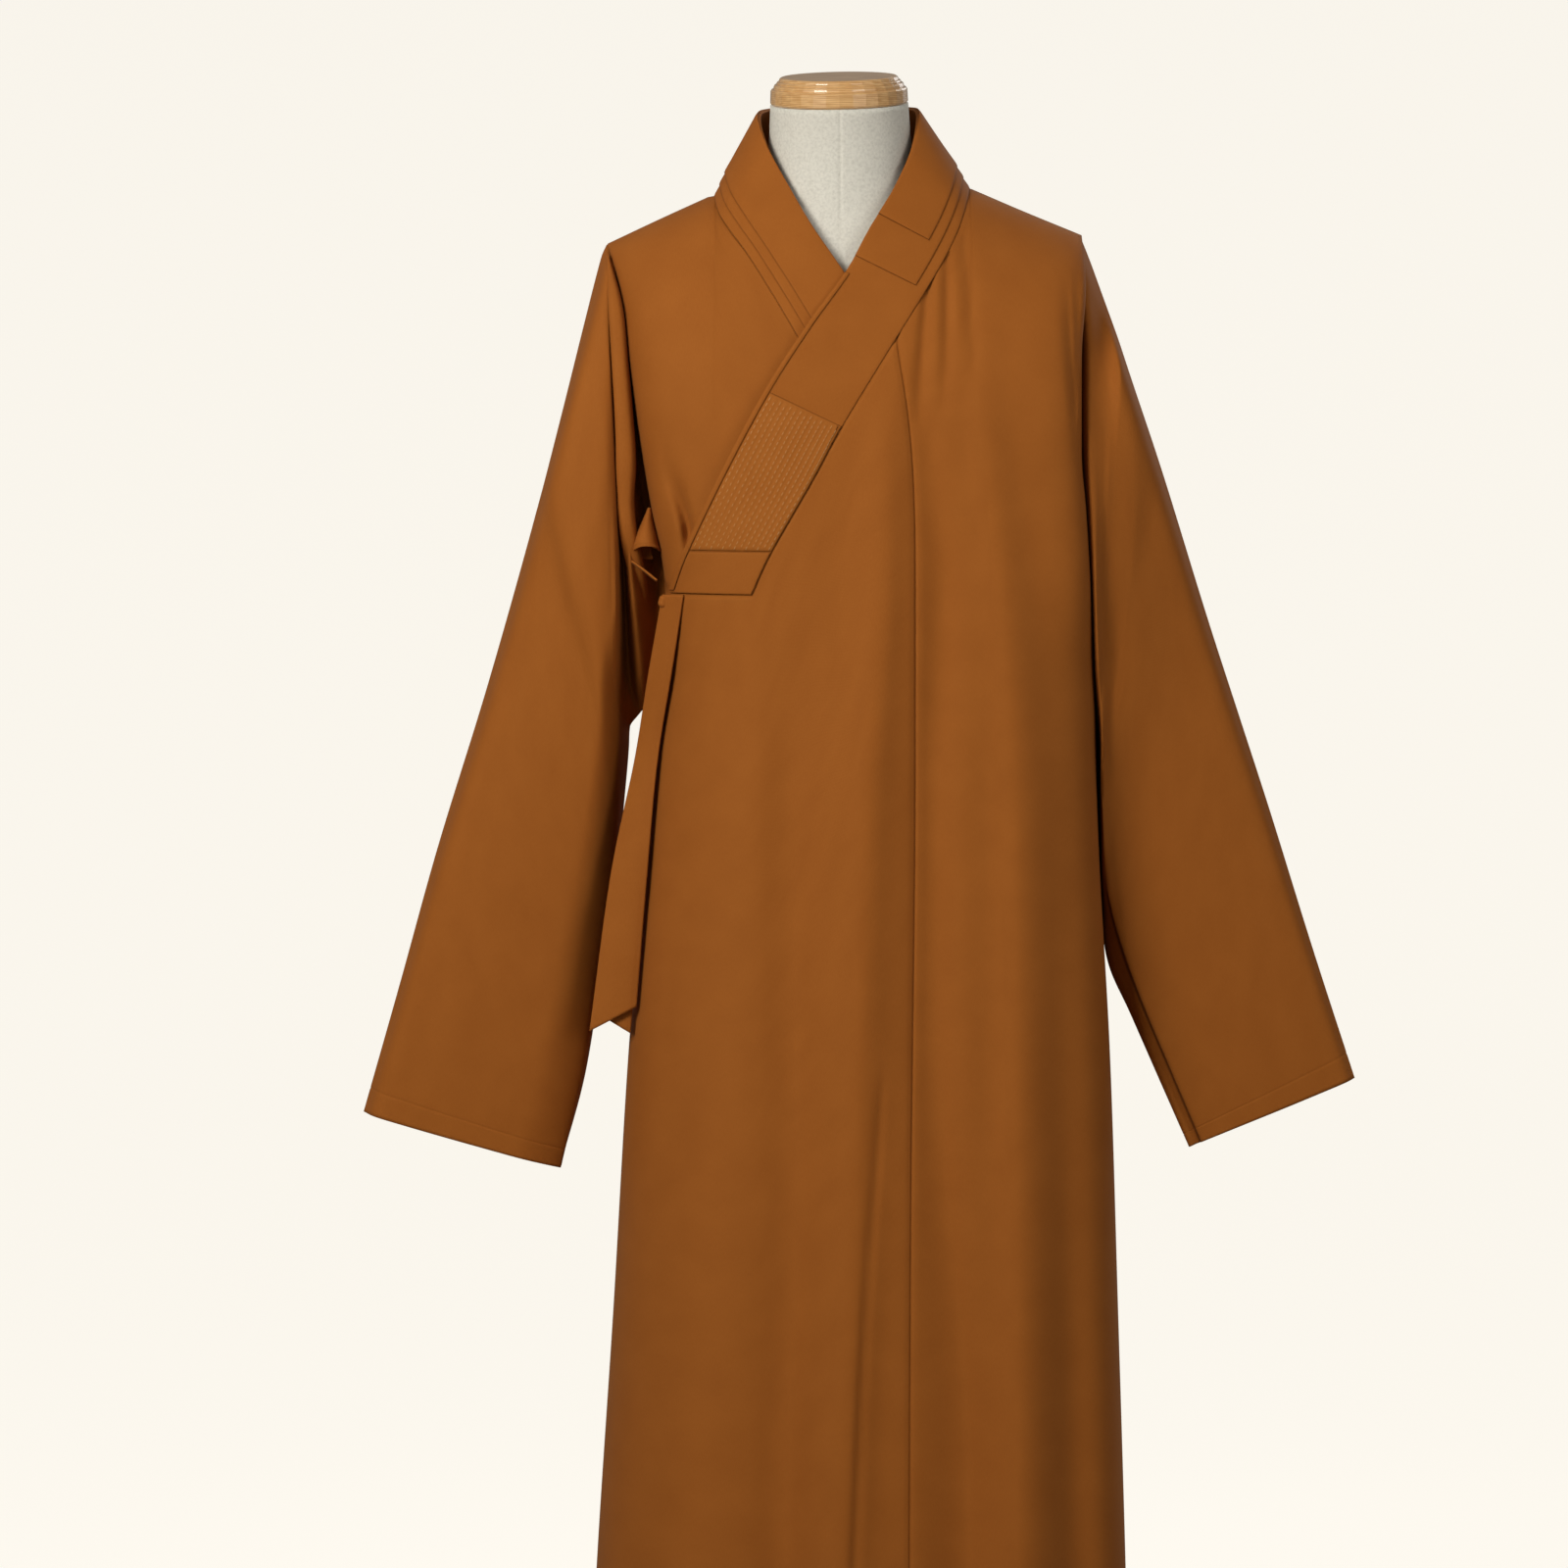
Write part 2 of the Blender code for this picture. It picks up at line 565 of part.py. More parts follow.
def shares(count, *stops):
    """Even steps between stops, so that a column or row falls on each stop."""
    ends = (0.0,) + stops + (1.0,)
    parts = [
        np.linspace(a, b, max(2, round(count * (b - a)) + 1))[:-1] for a, b in zip(ends, ends[1:])
    ]
    return np.concatenate(parts + [[1.0]])


FORM = table(
    "height half_width front back",
    (0.800, 0.112, -0.078, 0.082),
    (0.806, 0.120, -0.086, 0.090),
    (0.870, 0.128, -0.092, 0.100),
    (0.950, 0.122, -0.090, 0.094),
    (1.040, 0.112, -0.086, 0.080),
    (1.130, 0.118, -0.092, 0.080),
    (1.220, 0.132, -0.102, 0.086),
    (1.290, 0.146, -0.104, 0.088),
    (1.350, 0.158, -0.100, 0.084),
    (1.395, 0.165, -0.092, 0.076),
    (1.420, 0.163, -0.085, 0.068),
    (1.437, 0.145, -0.079, 0.062),
    (1.452, 0.112, -0.073, 0.060),
    (1.470, 0.082, -0.067, 0.060),
    (1.492, 0.068, -0.064, 0.060),
    (1.530, 0.0635, -0.0625, 0.061),
    (1.5695, 0.0610, -0.0610, 0.061),
)


def round_rings(*rows):
    """Rings of a round turned piece from its heights and radii."""
    return table("height half_width front back", *[(z, r, -r, r) for z, r in rows])


CAP = round_rings(
    (1.5700, 0.0595),
    (1.5715, 0.0610),
    (1.5825, 0.0605),
    (1.5838, 0.0596),
    (1.5842, 0.0578),
    (1.5850, 0.0578),
    (1.5865, 0.0575),
    (1.5878, 0.0568),
    (1.5882, 0.0552),
    (1.5890, 0.0552),
    (1.5902, 0.0546),
    (1.5908, 0.0532),
    (1.5916, 0.0530),
    (1.5932, 0.0522),
    (1.5940, 0.0508),
)
POLE = round_rings((0.0243, 0.0150), (0.7997, 0.0150))
FOOT = round_rings(
    (0.0000, 0.1680),
    (0.0015, 0.1700),
    (0.0060, 0.1700),
    (0.0085, 0.1660),
    (0.0140, 0.0600),
    (0.0175, 0.0300),
    (0.0240, 0.0240),
)

for scene_object in list(bpy.data.objects):
    bpy.data.objects.remove(scene_object, do_unlink=True)

turned("form_torso", FORM, LINEN)
turned("neck_cap", CAP, TURNED_WOOD)
turned("stand_pole", POLE, DARK_STEEL, sides=20)
turned("stand_foot", FOOT, DARK_STEEL, sides=40)

# Shares of each front's width at which its neck corner lies, so that a column falls there.
LEFT_NECK_SHARE = 0.42
BAND_CORNER_SHARE = 0.34
RIGHT_NECK_SHARE = 0.50
BACK_NECK_SHARE = 0.50

wall(
    "front_left",
    panel(
        -1,
        (at_line("centre", SEAM_NUDGE), at_line("left_neck"), at_side(LEFT_SIDE)),
        (0.0, LEFT_NECK_SHARE, 1.0),
        ridge_or_seam(4.0, LEFT_SHOULDER_STATION),
        0.0,
        rolls=True,
    ),
    shares(13, LEFT_NECK_SHARE),
    shares(22, ROLL_SHARE),
    CLOTH,
    OCHRE,
)
wall(
    "front_overlap",
    panel(
        -1,
        (at_free_edge, at_line("band_corner"), at_line("centre", -SEAM_NUDGE)),
        (0.0, BAND_CORNER_SHARE, 1.0),
        overlap_top,
        0.0,
        rolls=False,
    ),
    shares(17, BAND_CORNER_SHARE),
    shares(18),
    CLOTH,
    OCHRE,
)
wall(
    "front_right",
    panel(
        -1,
        (at_side(RIGHT_SIDE), at_line("right_neck"), at_line("under_edge")),
        (0.0, RIGHT_NECK_SHARE, 1.0),
        ridge_or_seam(RIGHT_SHOULDER_STATION, BAND_LAST_STATION),
        1.0,
        rolls=True,
    ),
    shares(13, RIGHT_NECK_SHARE),
    shares(22, ROLL_SHARE),
    CLOTH,
    OCHRE,
)
for side_name, side_turn, seam_nudge, side_underlap in (
    ("left", LEFT_SIDE, SEAM_NUDGE, 0.0),
    ("right", RIGHT_SIDE, -SEAM_NUDGE, 1.0),
):
    wall(
        "back_" + side_name,
        panel(
            1,
            (at_back_seam(seam_nudge), at_line("back_" + side_name + "_neck"), at_side(side_turn)),
            (0.0, BACK_NECK_SHARE, 1.0),
            ridge_or_seam(LEFT_SHOULDER_STATION, RIGHT_SHOULDER_STATION),
            side_underlap,
            rolls=True,
        ),
        shares(14, BACK_NECK_SHARE),
        shares(22, ROLL_SHARE),
        CLOTH,
        OCHRE,
    )

SLEEVE_AROUND = np.arange(24) / 24
SLEEVE_ALONG = np.concatenate(
    [np.linspace(0.0, SLEEVE_BLEND_END, 6)[:-1], np.linspace(SLEEVE_BLEND_END, 1.0, 9)]
)
for side_name, columns, side in (("left", LEFT_SLEEVE, 1), ("right", RIGHT_SLEEVE, -1)):
    wall(
        "sleeve_" + side_name,
        sleeve(columns, side),
        SLEEVE_AROUND,
        SLEEVE_ALONG,
        CLOTH,
        OCHRE,
        closed=True,
    )


# Where the pieces on the neckband begin and end, across in shares and along in stations.
SECOND_ACROSS, SECOND_START = 0.14, 5.35
TOP_ACROSS, TOP_START = 0.28, 6.35
BINDING_ACROSS, BINDING_START, BINDING_END = 0.94, 0.33, 5.0
PATCH_ACROSS, PATCH_START, PATCH_END = 0.93, 1.04, 3.0
END_PATCH_END = 0.98

# Grid lines that all these pieces share, so that their walls stay parallel.
BAND_ACROSS = np.array(
    [0.0, SECOND_ACROSS, TOP_ACROSS, 0.45, 0.62, 0.78, PATCH_ACROSS, BINDING_ACROSS, 1.0]
)
BAND_ALONG = np.concatenate(
    [
        [0.0, BINDING_START, 0.66, END_PATCH_END, PATCH_START, 1.4, 1.8, 2.2, 2.6, PATCH_END],
        [3.5, 4.0, 4.5, BINDING_END, SECOND_START, 5.9, TOP_START],
        np.arange(7.0, BAND_LAST_STATION + 0.1, 0.5),
    ]
)


def band_layer(name, layer, thickness, material, across, along):
    """Wall on the neckband between two shares across and two stations: layer 0 is the base."""
    lift = layer * (BAND_CLOTH / 2 + LAYER_CLOTH / 2 + GAP)
    if layer > 1:
        lift = BAND_CLOTH / 2 + (layer - 0.5) * LAYER_CLOTH + layer * GAP
    kept_across = BAND_ACROSS[(BAND_ACROSS >= across[0]) & (BAND_ACROSS <= across[1])]
    kept_along = BAND_ALONG[(BAND_ALONG >= along[0]) & (BAND_ALONG <= along[1])]
    wall(
        name,
        lambda u, v: neckband(v, u),
        kept_across,
        kept_along,
        thickness,
        material,
        lift=lift,
    )


ALL_ACROSS, ALL_ALONG = (0.0, 1.0), (0.0, BAND_LAST_STATION)
band_layer("collar_base", 0, BAND_CLOTH, OCHRE, ALL_ACROSS, ALL_ALONG)
band_layer(
    "collar_second",
    1,
    LAYER_CLOTH,
    OCHRE,
    (SECOND_ACROSS, 1.0),
    (SECOND_START, BAND_LAST_STATION),
)
band_layer(
    "collar_top",
    2,
    LAYER_CLOTH,
    OCHRE,
    (TOP_ACROSS, 1.0),
    (TOP_START, BAND_LAST_STATION),
)
band_layer(
    "band_binding",
    1,
    LAYER_CLOTH,
    OCHRE,
    (BINDING_ACROSS, 1.0),
    (BINDING_START, BINDING_END),
)
band_layer(
    "stitched_patch",
    1,
    LAYER_CLOTH,
    STITCHED,
    (0.0, PATCH_ACROSS),
    (PATCH_START, PATCH_END),
)
band_layer("end_patch", 1, LAYER_CLOTH, OCHRE, (0.0, PATCH_ACROSS), (0.0, END_PATCH_END))


def knot(name, centre, radii, material):
    """Rounded knot: a ball stretched to its three radii."""
    bm = bmesh.new()
    bmesh.ops.create_uvsphere(bm, u_segments=14, v_segments=8, radius=1.0)
    bmesh.ops.scale(bm, vec=radii, verts=bm.verts)
    bmesh.ops.translate(bm, vec=centre, verts=bm.verts)
    mesh = bpy.data.meshes.new(name)
    bm.to_mesh(mesh)
    bm.free()
    return finish(name, mesh, material)


wall("tie_front", ribbon(FRONT_RIBBON), shares(3), shares(12), RIBBON_CLOTH, OCHRE)
wall("tie_back", ribbon(BACK_RIBBON), shares(2), shares(10), RIBBON_CLOTH, OCHRE)
wall("tie_strap", ribbon(TIE_STRAP), shares(1), shares(4), RIBBON_CLOTH, OCHRE)
knot("tie_knot", TIE_KNOT_CENTRE, TIE_KNOT_RADII, OCHRE)
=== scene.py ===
"""A Buddhist monk's long robe on a limbless linen dress form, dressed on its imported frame."""

import math

import bpy
import numpy as np
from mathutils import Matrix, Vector


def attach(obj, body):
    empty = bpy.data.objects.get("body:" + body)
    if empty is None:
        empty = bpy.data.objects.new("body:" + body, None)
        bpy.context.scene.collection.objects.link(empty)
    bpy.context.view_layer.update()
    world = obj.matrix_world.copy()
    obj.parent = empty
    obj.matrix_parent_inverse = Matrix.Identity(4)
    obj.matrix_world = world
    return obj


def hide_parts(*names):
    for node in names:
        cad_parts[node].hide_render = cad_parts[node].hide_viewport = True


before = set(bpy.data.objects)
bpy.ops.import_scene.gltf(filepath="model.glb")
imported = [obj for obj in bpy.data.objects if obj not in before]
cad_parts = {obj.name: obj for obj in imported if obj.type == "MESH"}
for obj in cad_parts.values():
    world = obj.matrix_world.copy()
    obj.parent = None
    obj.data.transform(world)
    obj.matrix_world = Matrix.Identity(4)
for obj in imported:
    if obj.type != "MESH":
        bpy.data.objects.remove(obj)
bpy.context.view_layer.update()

# ----------------------------------------
# Studio: a round cream room, floor and wall in one wide curve, glows softly by itself and lets
# the sky's light through to the robe. A large soft light hangs high on the left, with weaker
# ones on the right and behind. The camera is far off on a long lens, above the robe's middle.

ROOM_COLOUR = (0.20, 0.19, 0.17, 1.0)
ROOM_GLOW_COLOUR, ROOM_GLOW = (1.0, 0.962, 0.885, 1.0), 0.90
ROOM_RADIUS, ROOM_BEND, ROOM_HEIGHT = 11.0, 2.5, 12.0


def room_points(u, v):
    """Disc, quarter round and upright wall in one profile along v, turned about Z along u."""
    quarter = np.clip((v - 0.3) / 0.3, 0.0, 1.0) * math.pi / 2
    flat = ROOM_RADIUS - ROOM_BEND
    radius = np.maximum(flat * np.clip(v / 0.3, 0.0, 1.0), 0.01) + ROOM_BEND * np.sin(quarter)
    wall = (ROOM_HEIGHT - ROOM_BEND) * np.clip((v - 0.6) / 0.4, 0.0, 1.0)
    z = ROOM_BEND * (1.0 - np.cos(quarter)) + wall
    return np.stack([radius * np.cos(-2 * math.pi * u), radius * np.sin(-2 * math.pi * u), z], -1)


def mesh_piece(name, points, faces, uv=None):
    """A smooth mesh object at the origin, in the scene, with a UV map in metres if one is given."""
    mesh = bpy.data.meshes.new(name)
    mesh.from_pydata(points.reshape(-1, 3).tolist(), [], faces)
    if uv is not None:
        mesh.uv_layers.new(name="cloth_metres").data.foreach_set("uv", uv.ravel())
    mesh.update()
    mesh.shade_smooth()
    piece = bpy.data.objects.new(name, mesh)
    bpy.context.scene.collection.objects.link(piece)
    return piece


def grid_mesh(name, points, closed=False, flip=False, ends=False):
    """A mesh piece on a grid of points.

    Faces look along the cross product of the grid's first and second direction, or the other
    way when flipped. A closed grid joins its last column to its first, and its two round ends
    may be covered with a flat face each.
    """
    columns, rows = points.shape[:2]
    index = np.arange(columns * rows).reshape(columns, rows)
    here = index if closed else index[:-1]
    after = np.roll(index, -1, axis=0) if closed else index[1:]
    faces = np.stack([here[:, :-1], after[:, :-1], after[:, 1:], here[:, 1:]], axis=-1)
    next_points = np.roll(points, -1, axis=0) if closed else points[1:]
    steps_u = np.linalg.norm(next_points - points[: len(next_points)], axis=-1).mean(axis=1)
    steps_v = np.linalg.norm(np.diff(points, axis=1), axis=-1).mean(axis=0)
    length_u = np.concatenate([[0.0], np.cumsum(steps_u)])
    length_v = np.concatenate([[0.0], np.cumsum(steps_v)])
    net = np.stack(np.meshgrid(length_u, length_v, indexing="ij"), axis=-1)
    uv = np.stack([net[:-1, :-1], net[1:, :-1], net[1:, 1:], net[:-1, 1:]], axis=2).reshape(-1, 2)
    faces = faces.reshape(-1, 4)
    if flip:
        faces = faces[:, ::-1]
        uv = uv.reshape(-1, 4, 2)[:, ::-1].reshape(-1, 2)
    faces = faces.tolist()
    if ends:
        for ring in (index[::-1, 0], index[:, -1]):
            faces.append(ring.tolist())
            uv = np.concatenate([uv, points.reshape(-1, 3)[ring, :2]])
    return mesh_piece(name, points, faces, uv)


def add_shade(piece, shade):
    """Store how much painted shade the cloth gets at each point, from 0 to 1, for its material."""
    values = piece.data.attributes.new("seam_shade", "FLOAT", "POINT").data
    values.foreach_set("value", shade.ravel())


class Paint:
    """Short way to write a material: add nodes, join sockets and set the shader's values."""

    def __init__(self, name):
        self.material = bpy.data.materials.new(name)
        self.material.use_nodes = True
        self.tree = self.material.node_tree
        self.shader = self.tree.nodes["Principled BSDF"]

    def feed(self, socket, value):
        if isinstance(value, bpy.types.NodeSocket):
            self.tree.links.new(value, socket)
        else:
            socket.default_value = value

    def node(self, kind, inputs=None, output=0, **settings):
        made = self.tree.nodes.new(kind)
        for key, value in settings.items():
            setattr(made, key, value)
        for key, value in (inputs or {}).items():
            self.feed(made.inputs[key], value)
        return made.outputs[output]

    def maths(self, operation, a, b=0.0, clamp=False):
        return self.node("ShaderNodeMath", {0: a, 1: b}, operation=operation, use_clamp=clamp)

    def wave(self, place, scale, direction, distortion, detail, **more):
        inputs = {"Vector": place, "Scale": scale, "Distortion": distortion, "Detail": detail}
        inputs.update(more)
        return self.node("ShaderNodeTexWave", inputs, output="Fac", bands_direction=direction)

    def noise(self, place, scale, detail):
        inputs = {"Vector": place, "Scale": scale, "Detail": detail}
        return self.node("ShaderNodeTexNoise", inputs, output="Fac")

    def stretched(self, place, scale):
        return self.node("ShaderNodeMapping", {"Vector": place, "Scale": scale})

    def bump(self, height, strength, distance):
        inputs = {"Strength": strength, "Distance": distance, "Height": height}
        return self.node("ShaderNodeBump", inputs, output="Normal")

    def ramp(self, factor, *stops):
        made = self.tree.nodes.new("ShaderNodeValToRGB")
        self.feed(made.inputs["Fac"], factor)
        elements = made.color_ramp.elements
        while len(elements) < len(stops):
            elements.new(0.5)
        for element, (place, colour) in zip(elements, stops):
            element.position = place
            element.color = colour
        return made.outputs["Color"]

    def set(self, **values):
        for key, value in values.items():
            self.feed(self.shader.inputs[key.replace("_", " ")], value)


room = grid_mesh(
    "studio_room",
    room_points(*np.meshgrid(np.linspace(0, 1, 97)[:-1], np.linspace(0, 1, 81), indexing="ij")),
    closed=True,
)
room.visible_diffuse = False
room.visible_glossy = False
room_paint = Paint("room_paint")
room_paint.set(Base_Color=ROOM_COLOUR, Roughness=1.0, Specular_IOR_Level=0.0)
room_paint.set(Emission_Color=ROOM_GLOW_COLOUR, Emission_Strength=ROOM_GLOW)
room.data.materials.append(room_paint.material)
bpy.context.scene.view_settings.view_transform = "Standard"

CAMERA_DISTANCE = 7.0
CAMERA_RISE = math.radians(2.5)
CAMERA_AIM = (-0.0496, 0.0, 0.9675)
FRAME_WIDTH = 1.392

camera_data = bpy.data.cameras.new("camera")
camera_data.lens = camera_data.sensor_width * CAMERA_DISTANCE / FRAME_WIDTH
camera = bpy.data.objects.new("camera", camera_data)
camera.location = (
    CAMERA_AIM[0], -CAMERA_DISTANCE * math.cos(CAMERA_RISE),
    CAMERA_AIM[2] + CAMERA_DISTANCE * math.sin(CAMERA_RISE),
)
camera.rotation_euler = (math.pi / 2 - CAMERA_RISE, 0.0, 0.0)
bpy.context.scene.collection.objects.link(camera)
bpy.context.scene.camera = camera


LIGHT_SPREAD = math.radians(100.0)


def soft_light(name, place, target, size, power, colour):
    """Square area light at a place, turned towards a target, with a grid that narrows its beam."""
    data = bpy.data.lights.new(name, "AREA")
    data.shape = "SQUARE"
    data.size = size
    data.energy = power
    data.color = colour
    data.spread = LIGHT_SPREAD
    lamp = bpy.data.objects.new(name, data)
    lamp.location = place
    lamp.rotation_euler = (Vector(target) - Vector(place)).to_track_quat("-Z", "Y").to_euler()
    bpy.context.scene.collection.objects.link(lamp)


soft_light("key_light", (-1.9, -2.7, 2.45), (0.0, 0.0, 1.4), 1.4, 31.5, (1.0, 0.97, 0.93))
soft_light("back_light", (1.9, 3.0, 2.7), (0.0, 0.0, 1.0), 1.8, 7.0, (1.0, 0.98, 0.96))
soft_light("fill_light", (2.7, -3.2, 2.2), (0.0, 0.0, 1.3), 1.8, 12.5, (0.99, 0.98, 0.98))

SKY_BELOW, SKY_ABOVE = (0.05, 0.045, 0.04, 1.0), (0.33, 0.325, 0.315, 1.0)
world = bpy.data.worlds.new("studio_sky")
world.use_nodes = True
sky = world.node_tree
sky_height = sky.nodes.new("ShaderNodeSeparateXYZ")
sky.links.new(sky.nodes.new("ShaderNodeTexCoord").outputs["Generated"], sky_height.inputs[0])
sky_tone = sky.nodes.new("ShaderNodeMapRange")
sky_tone.data_type = "FLOAT_VECTOR"
sky_tone.inputs[7].default_value = (-1.0, -1.0, -1.0)
sky_tone.inputs[9].default_value = SKY_BELOW[:3]
sky_tone.inputs[10].default_value = SKY_ABOVE[:3]
sky.links.new(sky_height.outputs["Z"], sky_tone.inputs["Vector"])
sky.links.new(sky_tone.outputs["Vector"], sky.nodes["Background"].inputs["Color"])
bpy.context.scene.world = world

# ----------------------------------------
# Dress form: a limbless torso padded and covered in undyed linen, sewn from two halves with a
# seam down the middle of front and back. The robe rests on its shoulders.


def table(names, *rows):
    """Columns by name from rows in thousandths: lengths in millimetres, other values x 1000."""
    return dict(zip(names.split(), np.array(rows).T / 1000.0))


def curve(knots, values, at):
    """Smooth cubic through values at knots, level past the ends and never beyond its rows.

    values may have more columns than one; at is then one line of places.
    """
    knots, values = np.asarray(knots, dtype=float), np.asarray(values, dtype=float)
    more = (1,) * (values.ndim - 1)
    rises = np.diff(values, axis=0) / np.diff(knots).reshape((-1,) + more)
    slopes = np.gradient(values, knots, axis=0)
    slopes[1:-1] *= rises[1:] * rises[:-1] > 0.0
    first, last = np.abs(rises[:1]), np.abs(rises[-1:])
    steepest = 3.0 * np.minimum(
        np.concatenate([np.abs(rises), last]), np.concatenate([first, np.abs(rises)])
    )
    slopes = np.clip(slopes, -steepest, steepest)
    at = np.clip(at, knots[0], knots[-1])
    i = np.clip(np.searchsorted(knots, at, side="right") - 1, 0, len(knots) - 2)
    span = (knots[i + 1] - knots[i]).reshape(i.shape + more)
    t = (at - knots[i]).reshape(i.shape + more) / span
    rise = t * t * (3.0 - 2.0 * t)
    bend = span * t * (1.0 - t) * (slopes[i] * (1.0 - t) - slopes[i + 1] * t)
    return values[i] * (1.0 - rise) + values[i + 1] * rise + bend


def dress(piece, material, node=None):
    """Give a piece its material and slot and the body it rides on, and hide the part it replaces.
    """
    piece.data.materials.append(material)
    if node:
        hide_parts(node)
    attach(piece, "root")


def read(columns, name, at):
    """One column of a table at the given keys of its first column."""
    return curve(next(iter(columns.values())), columns[name], at)


FORM = table(
    "height half_width front back",
    (800, 112, -78, 82),
    (806, 120, -86, 90),
    (870, 128, -92, 100),
    (950, 122, -90, 94),
    (1040, 112, -86, 80),
    (1130, 118, -92, 80),
    (1220, 132, -102, 86),
    (1290, 146, -104, 88),
    (1350, 158, -100, 84),
    (1395, 165, -92, 76),
    (1420, 163, -85, 68),
    (1437, 145, -79, 62),
    (1452, 112, -73, 60),
    (1470, 82, -67, 60),
    (1492, 68, -64, 60),
    (1530, 63.5, -62.5, 61),
    (1569.5, 61, -61, 61),
)
NECK_LEAN, NECK_ROLL = math.radians(7.3), math.radians(1.2)
NECK_LEAN_START, NECK_TOP, NECK_PIVOT = 1.492, 1.5695, 1.530
LINEN_SEAM_WIDTH, LINEN_SEAM_DEPTH = 0.0012, 0.0007


def smooth(start, end, at):
    """Rises from 0 to 1 between start and end, level at both."""
    t = np.clip((at - start) / (end - start), 0.0, 1.0)
    return t * t * (3.0 - 2.0 * t)


def turned(a, b, angle):
    """Two coordinates turned about the third."""
    return a * np.cos(angle) - b * np.sin(angle), a * np.sin(angle) + b * np.cos(angle)


def leaned(points):
    """The neck's lean: forward about X and sideways about Y, from none below to all at its top."""
    share = smooth(NECK_LEAN_START, NECK_TOP, points[..., 2])
    y, rise = turned(points[..., 1], points[..., 2] - NECK_PIVOT, NECK_LEAN * share)
    x, rise = turned(points[..., 0], rise, NECK_ROLL * share)
    return np.stack([x, y, NECK_PIVOT + rise], axis=-1)


def form_points(u, v):
    """Half ellipses front and back round the torso's rings, grooved down the middle, and leaned."""
    height = FORM["height"][0] + (FORM["height"][-1] - FORM["height"][0]) * v
    swing = 2.0 * math.pi * u
    reach = np.where(np.cos(swing) > 0.0, read(FORM, "front", height), read(FORM, "back", height))
    x = read(FORM, "half_width", height) * np.sin(swing)
    y = reach * np.abs(np.cos(swing))
    groove = 1.0 - LINEN_SEAM_DEPTH / 0.06 * np.exp(-((x / LINEN_SEAM_WIDTH) ** 2))
    return leaned(np.stack([x, y * groove, height], axis=-1))


def grid(u_shares, v_shares):
    """Two arrays of grid parameters, u by columns and v by rows."""
    return np.meshgrid(u_shares, v_shares, indexing="ij")


def even_grid(columns, rows):
    """Grid parameters in even steps from 0 to 1."""
    return grid(np.linspace(0, 1, columns), np.linspace(0, 1, rows))


def stretches(start, *parts):
    """Even steps from start to each part's stop in turn, given with their number; no last stop."""
    places = []
    for stop, count in parts:
        places.append(np.linspace(start, stop, count, endpoint=False))
        start = stop
    return np.concatenate(places)


LINEN_THREAD = 0.0007
WAVE_LENGTH = 0.314

form_around = stretches(-0.02, (0.02, 16), (0.48, 48))
form_around = np.concatenate([form_around, form_around + 0.5])
form = grid_mesh(
    "form_linen", form_points(*grid(form_around, np.linspace(0, 1, 161))), closed=True, ends=True
)
linen = Paint("undyed_linen")
linen_place = linen.node("ShaderNodeTexCoord", output="Object")
linen_threads = linen.maths(
    "ADD", linen.wave(linen_place, WAVE_LENGTH / LINEN_THREAD, "X", 1.5, 1.0),
    linen.wave(linen_place, WAVE_LENGTH / LINEN_THREAD, "Z", 1.5, 1.0),
)
linen_slubs = linen.noise(linen_place, 420.0, 3.0)
linen_tone = linen.ramp(
    linen.maths("ADD", linen.maths("MULTIPLY", linen_threads, 0.2), linen_slubs),
    (0.35, (0.56, 0.535, 0.455, 1.0)),
    (0.85, (0.74, 0.715, 0.62, 1.0)),
)
linen_bump = linen.bump(linen.maths("ADD", linen_threads, linen_slubs), 0.5, 0.0003)
linen.set(Base_Color=linen_tone, Roughness=0.92, Normal=linen_bump)
dress(form, linen.material, "form_torso")

# ----------------------------------------
# Neck cap and stand: a turned and varnished beech disc closes the neck, and the form stands on
# a dark steel tube that is screwed into a pressed round foot.

BEECH_LIGHT, BEECH_DARK = (0.70, 0.44, 0.19, 1.0), (0.50, 0.26, 0.085, 1.0)

beech = Paint("varnished_beech")
beech_place = beech.node("ShaderNodeTexCoord", output="Object")
beech_along = beech.stretched(beech_place, (0.35, 1.0, 6.0))
beech_grain = beech.wave(beech_along, 30.0, "Z", 5.0, 3.0, **{"Detail Scale": 1.6})
beech_flecks = beech.noise(beech.stretched(beech_place, (40.0, 160.0, 420.0)), 1.0, 4.0)
beech.set(
    Base_Color=beech.ramp(
        beech.maths("ADD", beech.maths("MULTIPLY", beech_grain, 0.35), beech_flecks),
        (0.35, BEECH_LIGHT),
        (0.85, BEECH_DARK),
    ),
    Roughness=0.34,
    Coat_Weight=0.6,
    Coat_Roughness=0.18,
    Normal=beech.bump(beech_flecks, 0.15, 0.0002),
)
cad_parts["neck_cap"].data.materials[0] = beech.material

steel = Paint("satin_dark_steel")
steel_grain = steel.noise(steel.node("ShaderNodeTexCoord", output="Object"), 900.0, 2.0)
steel.set(
    Base_Color=steel.ramp(
        steel_grain, (0.3, (0.075, 0.075, 0.08, 1.0)), (0.7, (0.11, 0.11, 0.12, 1.0))
    ),
    Metallic=0.9,
    Roughness=0.42,
    Normal=steel.bump(steel_grain, 0.1, 0.0001),
)
for steel_node in ("stand_pole", "stand_foot"):
    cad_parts[steel_node].data.materials[0] = steel.material

# ----------------------------------------
# Body of the robe: ochre polyester twill, cut as two backs with a centre seam, a right front
# that goes under, a left front and the overlap sewn to it down the middle, all without a
# shoulder seam in sight. It hangs from the shoulders in long soft folds that widen downwards.

